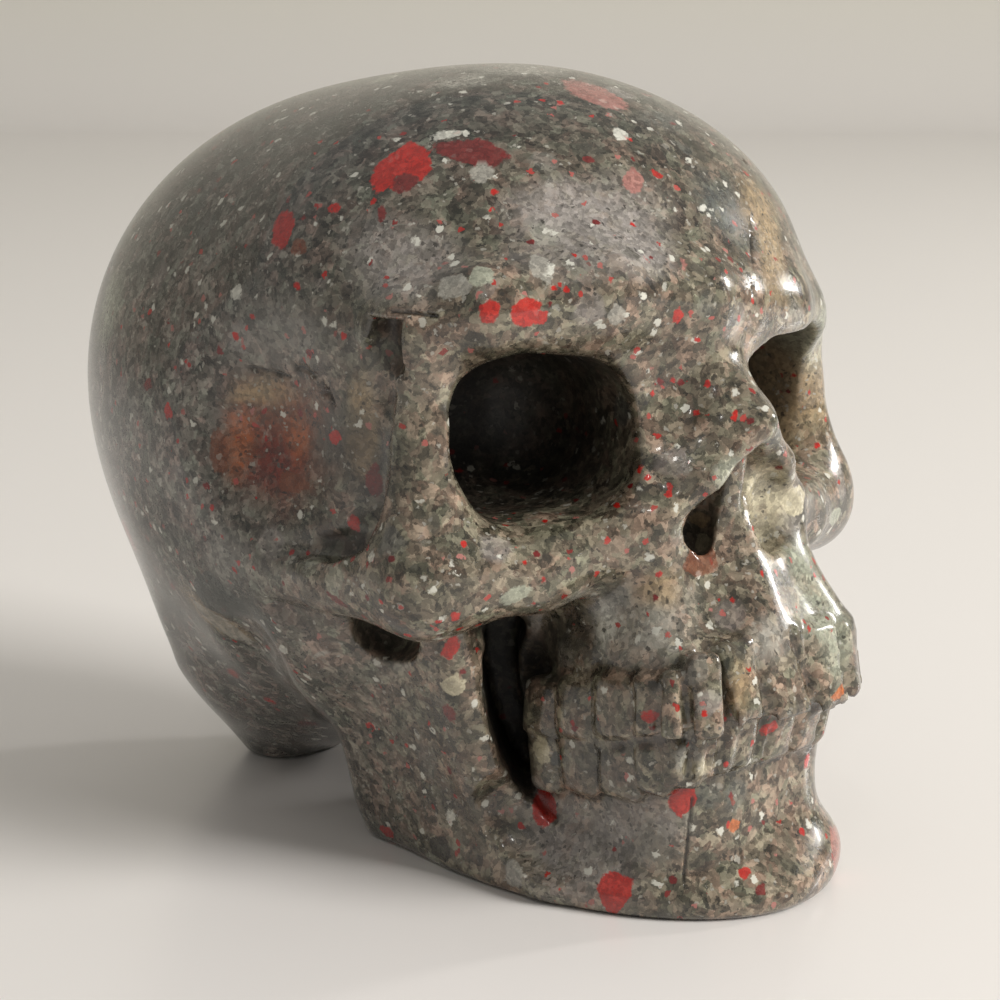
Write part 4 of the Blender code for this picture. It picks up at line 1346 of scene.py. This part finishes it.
    def carve(self, mesh: bpy.types.Mesh) -> None:
        """Makes the mesh finer along the cracks and the crisp clasts' edges, and cuts the cracks.

        Args:
            mesh: The mesh, in metres.
        """
        places = self.places(mesh)
        near = np.zeros(len(places), bool)
        for clast in self.crisp():
            near |= np.abs(clast.outside(places)) < self.band
        for crack in self.cracks:
            near |= crack.away(places) < 0.4
        form = bmesh.new()
        form.from_mesh(mesh)
        edges = [edge for edge in form.edges if near[edge.verts[0].index] and near[edge.verts[1].index]]
        bmesh.ops.subdivide_edges(form, edges=edges, cuts=2, smooth=0.6, use_grid_fill=True)
        bmesh.ops.triangulate(form, faces=[face for face in form.faces if len(face.verts) > 3])
        form.normal_update()
        form.to_mesh(mesh)
        places = self.places(mesh)
        form.verts.ensure_lookup_table()
        nearest = np.full(len(places), 1.0)
        for crack in self.cracks:
            away = crack.away(places)
            nearest = np.minimum(nearest, away / crack.wide)
            for index in np.nonzero(away < crack.wide)[0]:
                vertex = form.verts[index]
                vertex.co -= vertex.normal * float(crack.deep * (1.0 - away[index] / crack.wide) ** 0.7) * MM
        form.to_mesh(mesh)
        form.free()
        self.write(mesh, "crack", nearest)

    def lay(self, mesh: bpy.types.Mesh) -> None:
        """Writes the clasts and the painted shade of the hollows onto the vertices.

        Args:
            mesh: The mesh, in metres.
        """
        places = self.places(mesh)
        patch = np.zeros((len(places), 4))
        for clast in self.patches():
            ramp = (1.0 + clast.ragged - clast.ratio(places)) / (2.0 * clast.ragged)
            share = np.clip(ramp, 0.0, 1.0) * clast.strength
            cover = share + patch[:, 3] * (1.0 - share)
            under = patch[:, :3] * (patch[:, 3] * (1.0 - share))[:, None]
            patch[:, :3] = (under + share[:, None] * clast.tint.value) / np.maximum(cover, 1e-6)[:, None]
            patch[:, 3] = cover
        self.write(mesh, "patch", patch)

        edge = np.full(len(places), 9.0)
        tint = np.zeros((len(places), 4))
        for clast in self.crisp():
            outside = clast.outside(places)
            nearer = (outside < 0.0) | (outside < edge)
            edge[nearer] = outside[nearer]
            tint[nearer] = (*clast.tint.value, clast.strength)
        self.write(mesh, "clast_edge", np.minimum(edge, 1.0))
        self.write(mesh, "clast_tint", tint)

        # Painted shade: how closed in each vertex is, together with the shade ellipsoids, is written as 'deep', which
        # darkens the stone's colour in the hollows as if they were in shadow.
        deep = self.hollows(mesh) * 0.85
        for centre, radii, strength in self.shade:
            ratio = np.linalg.norm((places - centre) / radii, axis=1)
            deep = np.maximum(deep, np.clip((1.15 - ratio) / 0.30, 0.0, 1.0) * strength)
        self.write(mesh, "deep", deep)


@dataclass(frozen=True)
class Grains:
    """One set of grains: three chance numbers that each grain keeps, and the distance from its middle."""

    first: Wire
    second: Wire
    third: Wire
    distance: Wire


@dataclass(frozen=True)
class Bloodstone:
    """Polished African bloodstone: a breccia of grey, olive and mauve grains with red jasper spots."""

    roughness: float = 0.16
    coat: float = 0.45

    @staticmethod
    def grains(tree: Tree, place: Wire, size: float, shift: float) -> Grains:
        """Splits space into rough grains of one size.

        Args:
            tree: The material's tree.
            place: The place, in millimetres.
            size: The grains' usual width.
            shift: How far this set is moved from the others.

        Returns:
            The grains.
        """
        moved = place.vector("ADD", (shift, shift * 1.7, -shift * 0.6))
        cells = tree.node("ShaderNodeTexVoronoi", "Color", Vector=moved, Scale=1.0 / size, Randomness=1.0)
        first = tree.node("ShaderNodeSeparateColor", "Red", Color=cells)
        second = Wire(tree.nodes, first.socket.node.outputs["Green"])
        third = Wire(tree.nodes, first.socket.node.outputs["Blue"])
        return Grains(first, second, third, Wire(tree.nodes, cells.socket.node.outputs["Distance"]))

    @staticmethod
    def toned(tree: Tree, colour: Wire, texture: Wire) -> Wire:
        """Gives a flat colour a grain.

        Args:
            tree: The material's tree.
            colour: The flat colour.
            texture: A number around 1 that the colour is multiplied by.

        Returns:
            The grained colour.
        """
        grey = tree.node("ShaderNodeCombineColor", Red=texture, Green=texture, Blue=texture)
        return tree.mix(colour, grey, 1.0, "MULTIPLY")

    def material(self) -> bpy.types.Material:
        """Makes the stone's material.

        Returns:
            The material.
        """
        stone = bpy.data.materials.new("african_bloodstone")
        stone.use_nodes = True
        tree = Tree(stone.node_tree)
        shader = stone.node_tree.nodes["Principled BSDF"]
        place = tree.node("ShaderNodeTexCoord", "Object").vector("SCALE", 1.0 / MM)
        place = place.vector("SUBTRACT", (0.0, BACKWARD, 0.0))

        broad = tree.node("ShaderNodeTexNoise", "Color", Vector=place, Scale=0.7, Detail=1.0)
        fine = tree.node("ShaderNodeTexNoise", "Color", Vector=place, Scale=3.6, Detail=2.0, Roughness=0.7)
        parts = tree.node("ShaderNodeSeparateColor", "Red", Color=fine)
        bent = place.vector("ADD", broad.vector("SUBTRACT", (0.5, 0.5, 0.5)).vector("SCALE", 0.7))
        bent = bent.vector("ADD", fine.vector("SUBTRACT", (0.5, 0.5, 0.5)).vector("SCALE", 0.36))
        cloud = tree.node("ShaderNodeTexNoise", 0, Vector=place, Scale=0.40, Detail=2.0, Roughness=0.6)
        dust = tree.node("ShaderNodeTexNoise", 0, Vector=place, Scale=9.0, Detail=2.0, Roughness=0.75)

        large = self.grains(tree, bent, 0.95, 5.3)
        middle = self.grains(tree, bent, 0.46, 13.1)
        small = self.grains(tree, bent, 0.22, 29.7)
        lump = self.grains(tree, bent, 1.9, 41.9)
        bead = self.grains(tree, bent, 0.36, 91.0)
        soft = (large.first - 0.5) * large.distance.step(0.55, 0.30) + 0.5
        shade = soft * 0.26 + middle.first * 0.30 + small.first * 0.26 + dust * 0.18
        shade = shade + (cloud - 0.5) * 0.35
        colour = tree.ramp(shade, (
            (0.24, (0.024, 0.023, 0.019)),
            (0.38, (0.058, 0.054, 0.045)),
            (0.50, (0.104, 0.097, 0.082)),
            (0.61, (0.160, 0.150, 0.128)),
            (0.76, (0.270, 0.255, 0.220)),
        ))
        hue = large.second * 0.35 + middle.second * 0.30 + cloud * 0.50
        colour = tree.mix(colour, tree.ramp(hue, (
            (0.30, (0.89, 1.00, 0.94)),
            (0.48, (0.98, 1.00, 0.96)),
            (0.62, (1.05, 0.99, 0.97)),
            (0.80, (1.16, 0.95, 0.93)),
        )), 1.0, "MULTIPLY")
        # Painted light and shade: the side towards -Y is made lighter and warmer, partly the stone's warmer tone and
        # partly painted light on the face; the crown is made darker, partly its darker grey-green tone and partly
        # painted shade on the top.
        front = place.vector("DOT_PRODUCT", (0.0, -1.0, -0.15)).step(0.0, 12.0)
        colour = tree.mix(colour, (1.14, 1.04, 0.89), front, "MULTIPLY")
        crown_tone_and_shade = place.vector("DOT_PRODUCT", (0.0, 0.0, 1.0)).step(27.0, 36.0)
        colour = tree.mix(colour, (0.56, 0.58, 0.59), crown_tone_and_shade, "MULTIPLY")

        tint = tree.ramp(lump.second, (
            (0.00, Tint.SLATE.value),
            (0.20, Tint.LILAC.value),
            (0.40, Tint.MAUVE.value),
            (0.58, Tint.SAGE.value),
            (0.70, Tint.GREY.value),
            (0.90, Tint.ASH.value),
        ), hard=True)
        texture = small.first * 0.7 + dust * 0.6 + 0.35
        there = lump.first.step(0.845, 0.850) * lump.distance.step(0.50, 0.34)
        colour = tree.mix(colour, self.toned(tree, tint, texture), there * 0.5)
        patch = tree.node("ShaderNodeAttribute", "Color", {"attribute_name": "patch"})
        cover = Wire(tree.nodes, patch.socket.node.outputs["Alpha"])
        cover = cover * (parts * 1.6 + middle.third * 0.5 - 0.05)
        colour = tree.mix(colour, self.toned(tree, patch, texture), cover)

        for grain, chance, keep, share, shown in (
            (small, small.second, 0.945, 0.75, Tint.ASH),
            (middle, middle.third, 0.962, 0.85, Tint.CHALK),
            (small, small.third, 0.930, 0.75, Tint.BLACK),
            (large, large.third, 0.950, 0.60, Tint.SHADE),
        ):
            there = chance.step(keep - 0.004, keep + 0.004) * grain.distance.step(0.52, 0.36)
            colour = tree.mix(colour, shown.value, there * share)

        red = tree.ramp(bead.second, (
            (0.00, Tint.WINE.value),
            (0.35, Tint.RED.value),
            (0.90, Tint.PINK.value),
        ))
        there = bead.first.step(0.966, 0.969) * bead.distance.step(0.48, 0.38)
        colour = tree.mix(colour, red, there * 0.9)

        edge = tree.node("ShaderNodeAttribute", "Fac", {"attribute_name": "clast_edge"})
        shown = tree.node("ShaderNodeAttribute", "Color", {"attribute_name": "clast_tint"})
        strength = Wire(tree.nodes, shown.socket.node.outputs["Alpha"])
        there = (edge + (parts - 0.5) * 0.30).step(0.035, -0.035) * strength
        colour = tree.mix(colour, self.toned(tree, shown, dust * 1.1 + small.first * 0.45 + 0.22), there)
        crack = tree.node("ShaderNodeAttribute", "Fac", {"attribute_name": "crack"})
        crevice = tree.node("ShaderNodeAttribute", "Fac", {"attribute_name": "crevice"})
        deep = tree.node("ShaderNodeAttribute", "Fac", {"attribute_name": "deep"})
        # The crack lines keep their own dark colour; the darkening in creases and hollows is painted shade.
        crack_and_painted_shade = (crack.step(1.0, 0.3) * 0.85).math("MAXIMUM", crevice * 0.80).math("MAXIMUM", deep * 0.9)
        colour = tree.mix(colour, (0.10, 0.09, 0.075), crack_and_painted_shade, "MULTIPLY")

        bump_height = dust * 0.5 + cloud * 0.4
        bump = tree.node("ShaderNodeBump", 0, Strength=0.16, Distance=0.00010, Height=bump_height)
        # The painted-shade value 'deep' also roughens the surface and takes the coat away in the hollows.
        rough = dust.step(0.62, 0.38) * 0.12 + self.roughness + deep * 0.45
        feed(stone.node_tree, shader.inputs["Base Color"], colour)
        feed(stone.node_tree, shader.inputs["Roughness"], rough)
        feed(stone.node_tree, shader.inputs["Normal"], bump)
        feed(stone.node_tree, shader.inputs["Coat Weight"], deep * -self.coat + self.coat)
        shader.inputs["Coat Roughness"].default_value = 0.05
        shader.inputs["IOR"].default_value = 1.54
        return stone


@dataclass(frozen=True)
class Studio:
    """A pale table that curves up into a beige wall, with soft light from the upper right."""

    centre: Triple = (0.0, 0.0, 0.02)
    table_reach: float = 0.72
    wall_height: float = 0.7

    def build(self, camera: PhotoCamera) -> bpy.types.Object:
        """Makes the sweep of table and wall.

        Args:
            camera: The camera, which the wall faces.

        Returns:
            The sweep.
        """
        away = -camera.back()
        away = Vector((away.x, away.y, 0.0)).normalized()
        across = Vector((-away.y, away.x, 0.0))
        profile: list[tuple[float, float]] = [(-1.6, 0.0), (-0.4, 0.0)]
        bend = 0.09
        for step in range(0, 13):
            angle = math.radians(90 * step / 12)
            profile.append((
                self.table_reach - bend + bend * math.sin(angle),
                bend - bend * math.cos(angle),
            ))
        profile.append((self.table_reach, self.wall_height))
        mesh = bpy.data.meshes.new("studio_sweep")
        form = bmesh.new()
        rows = [
            [form.verts.new(away * out + across * wide + Vector((0.0, 0.0, up))) for wide in (-2.0, 2.0)]
            for out, up in profile
        ]
        for (a, b), (c, d) in zip(rows, rows[1:]):
            form.faces.new((a, c, d, b))
        bmesh.ops.recalc_face_normals(form, faces=form.faces)
        form.to_mesh(mesh)
        form.free()
        mesh.shade_smooth()
        sweep = bpy.data.objects.new("studio_sweep", mesh)
        bpy.context.scene.collection.objects.link(sweep)
        if mesh.polygons[0].normal.z < 0:
            mesh.flip_normals()
        mesh.materials.append(self.finish())
        return sweep

    def finish(self) -> bpy.types.Material:
        """Makes the sweep's material: a pale glossy table and a beige wall.

        Returns:
            The material.
        """
        made = bpy.data.materials.new("pale_table")
        made.use_nodes = True
        tree = Tree(made.node_tree)
        shader = made.node_tree.nodes["Principled BSDF"]
        place = tree.node("ShaderNodeTexCoord", "Object")
        height = tree.node("ShaderNodeSeparateXYZ", "Z", Vector=place)
        share = height.step(0.0, 0.05)
        feed(made.node_tree, shader.inputs["Base Color"], tree.mix((0.80, 0.77, 0.745), (0.72, 0.69, 0.61), share))
        feed(made.node_tree, shader.inputs["Roughness"], share * 0.4 + 0.28)
        return made

    def light(self, camera: PhotoCamera) -> None:
        """Adds the lights and the pale surroundings.

        Args:
            camera: The camera, which the lights are placed around.
        """
        right, up, back = camera.right(), Vector((0.0, 0.0, 1.0)), camera.back()
        for name, place, wide, tall, power, colour, glossy in (
            ("window", right * 0.50 + up * 0.24 + back * 0.27, 0.28, 0.28, 5.4, (1.0, 0.98, 0.95), False),
            ("sky", right * -0.05 + up * 0.60 - back * 0.30, 0.9, 0.5, 0.30, (0.96, 0.98, 1.0), False),
            ("pane", right * 0.56 + up * 0.27 - back * 0.26, 0.05, 0.12, 1.0, (1.0, 0.98, 0.95), True),
            ("lamp", right * -0.10 + up * 0.42 + back * 0.55, 0.03, 0.05, 0.16, (1.0, 0.97, 0.92), True),
        ):
            lamp = bpy.data.lights.new(name, "AREA")
            lamp.shape = "RECTANGLE"
            lamp.size = wide
            lamp.size_y = tall
            lamp.energy = power
            lamp.color = colour
            thing = bpy.data.objects.new(name, lamp)
            thing.visible_glossy = glossy
            bpy.context.scene.collection.objects.link(thing)
            thing.location = Vector(self.centre) + place
            thing.rotation_euler = (Vector(self.centre) - thing.location).to_track_quat("-Z", "Y").to_euler()
        world = bpy.data.worlds.new("pale_room")
        world.use_nodes = True
        world.node_tree.nodes["Background"].inputs["Color"].default_value = (0.90, 0.88, 0.84, 1.0)
        world.node_tree.nodes["Background"].inputs["Strength"].default_value = 0.38
        bpy.context.scene.world = world
        bpy.context.scene.view_settings.view_transform = "Standard"


@dataclass(frozen=True)
class PhotoCamera:
    """A camera at the photograph's angle and distance."""

    azimuth: float = -44.3
    elevation: float = 11.5
    distance: float = 0.131
    lens: float = 90.0
    aim: Triple = (0.0, BACKWARD * MM, 0.02)
    slide_right: float = 0.00396
    slide_up: float = -0.00399

    def back(self) -> Vector:
        """The direction from the skull to the camera.

        Returns:
            A direction of length 1.
        """
        turn, rise = math.radians(self.azimuth), math.radians(self.elevation)
        return Vector((math.sin(turn) * math.cos(rise), -math.cos(turn) * math.cos(rise), math.sin(rise)))

    def right(self) -> Vector:
        """The picture's right.

        Returns:
            A direction of length 1.
        """
        return Vector((0.0, 0.0, 1.0)).cross(self.back()).normalized()

    def build(self) -> bpy.types.Object:
        """Makes the camera.

        Returns:
            The camera object.
        """
        back, right = self.back(), self.right()
        up = back.cross(right)
        eye = Vector(self.aim) + back * self.distance + right * self.slide_right + up * self.slide_up
        data = bpy.data.cameras.new("photo_camera")
        data.lens = self.lens
        data.sensor_width = 36.0
        data.clip_start = 0.005
        data.clip_end = 10.0
        camera = bpy.data.objects.new("photo_camera", data)
        bpy.context.scene.collection.objects.link(camera)
        turn = Matrix((right, up, back)).transposed().to_4x4()
        camera.matrix_world = Matrix.Translation(eye) @ turn
        bpy.context.scene.camera = camera
        return camera


def main() -> None:
    """Builds the scene piece by piece."""
    logging.basicConfig(level=logging.INFO, format="%(message)s")
    skull = CarvedSkull(voxel=VOXEL)
    carving = skull.build()
    skull.dress(carving, Pattern(), Bloodstone())
    LOG.info("carved_skull: %d faces", len(carving.data.polygons))
    camera = PhotoCamera()
    camera.build()
    LOG.info("photo_camera: %.0f mm lens", camera.lens)
    studio = Studio()
    studio.build(camera)
    studio.light(camera)
    LOG.info("studio: table, wall and four lights")


if __name__ == "__main__":
    main()
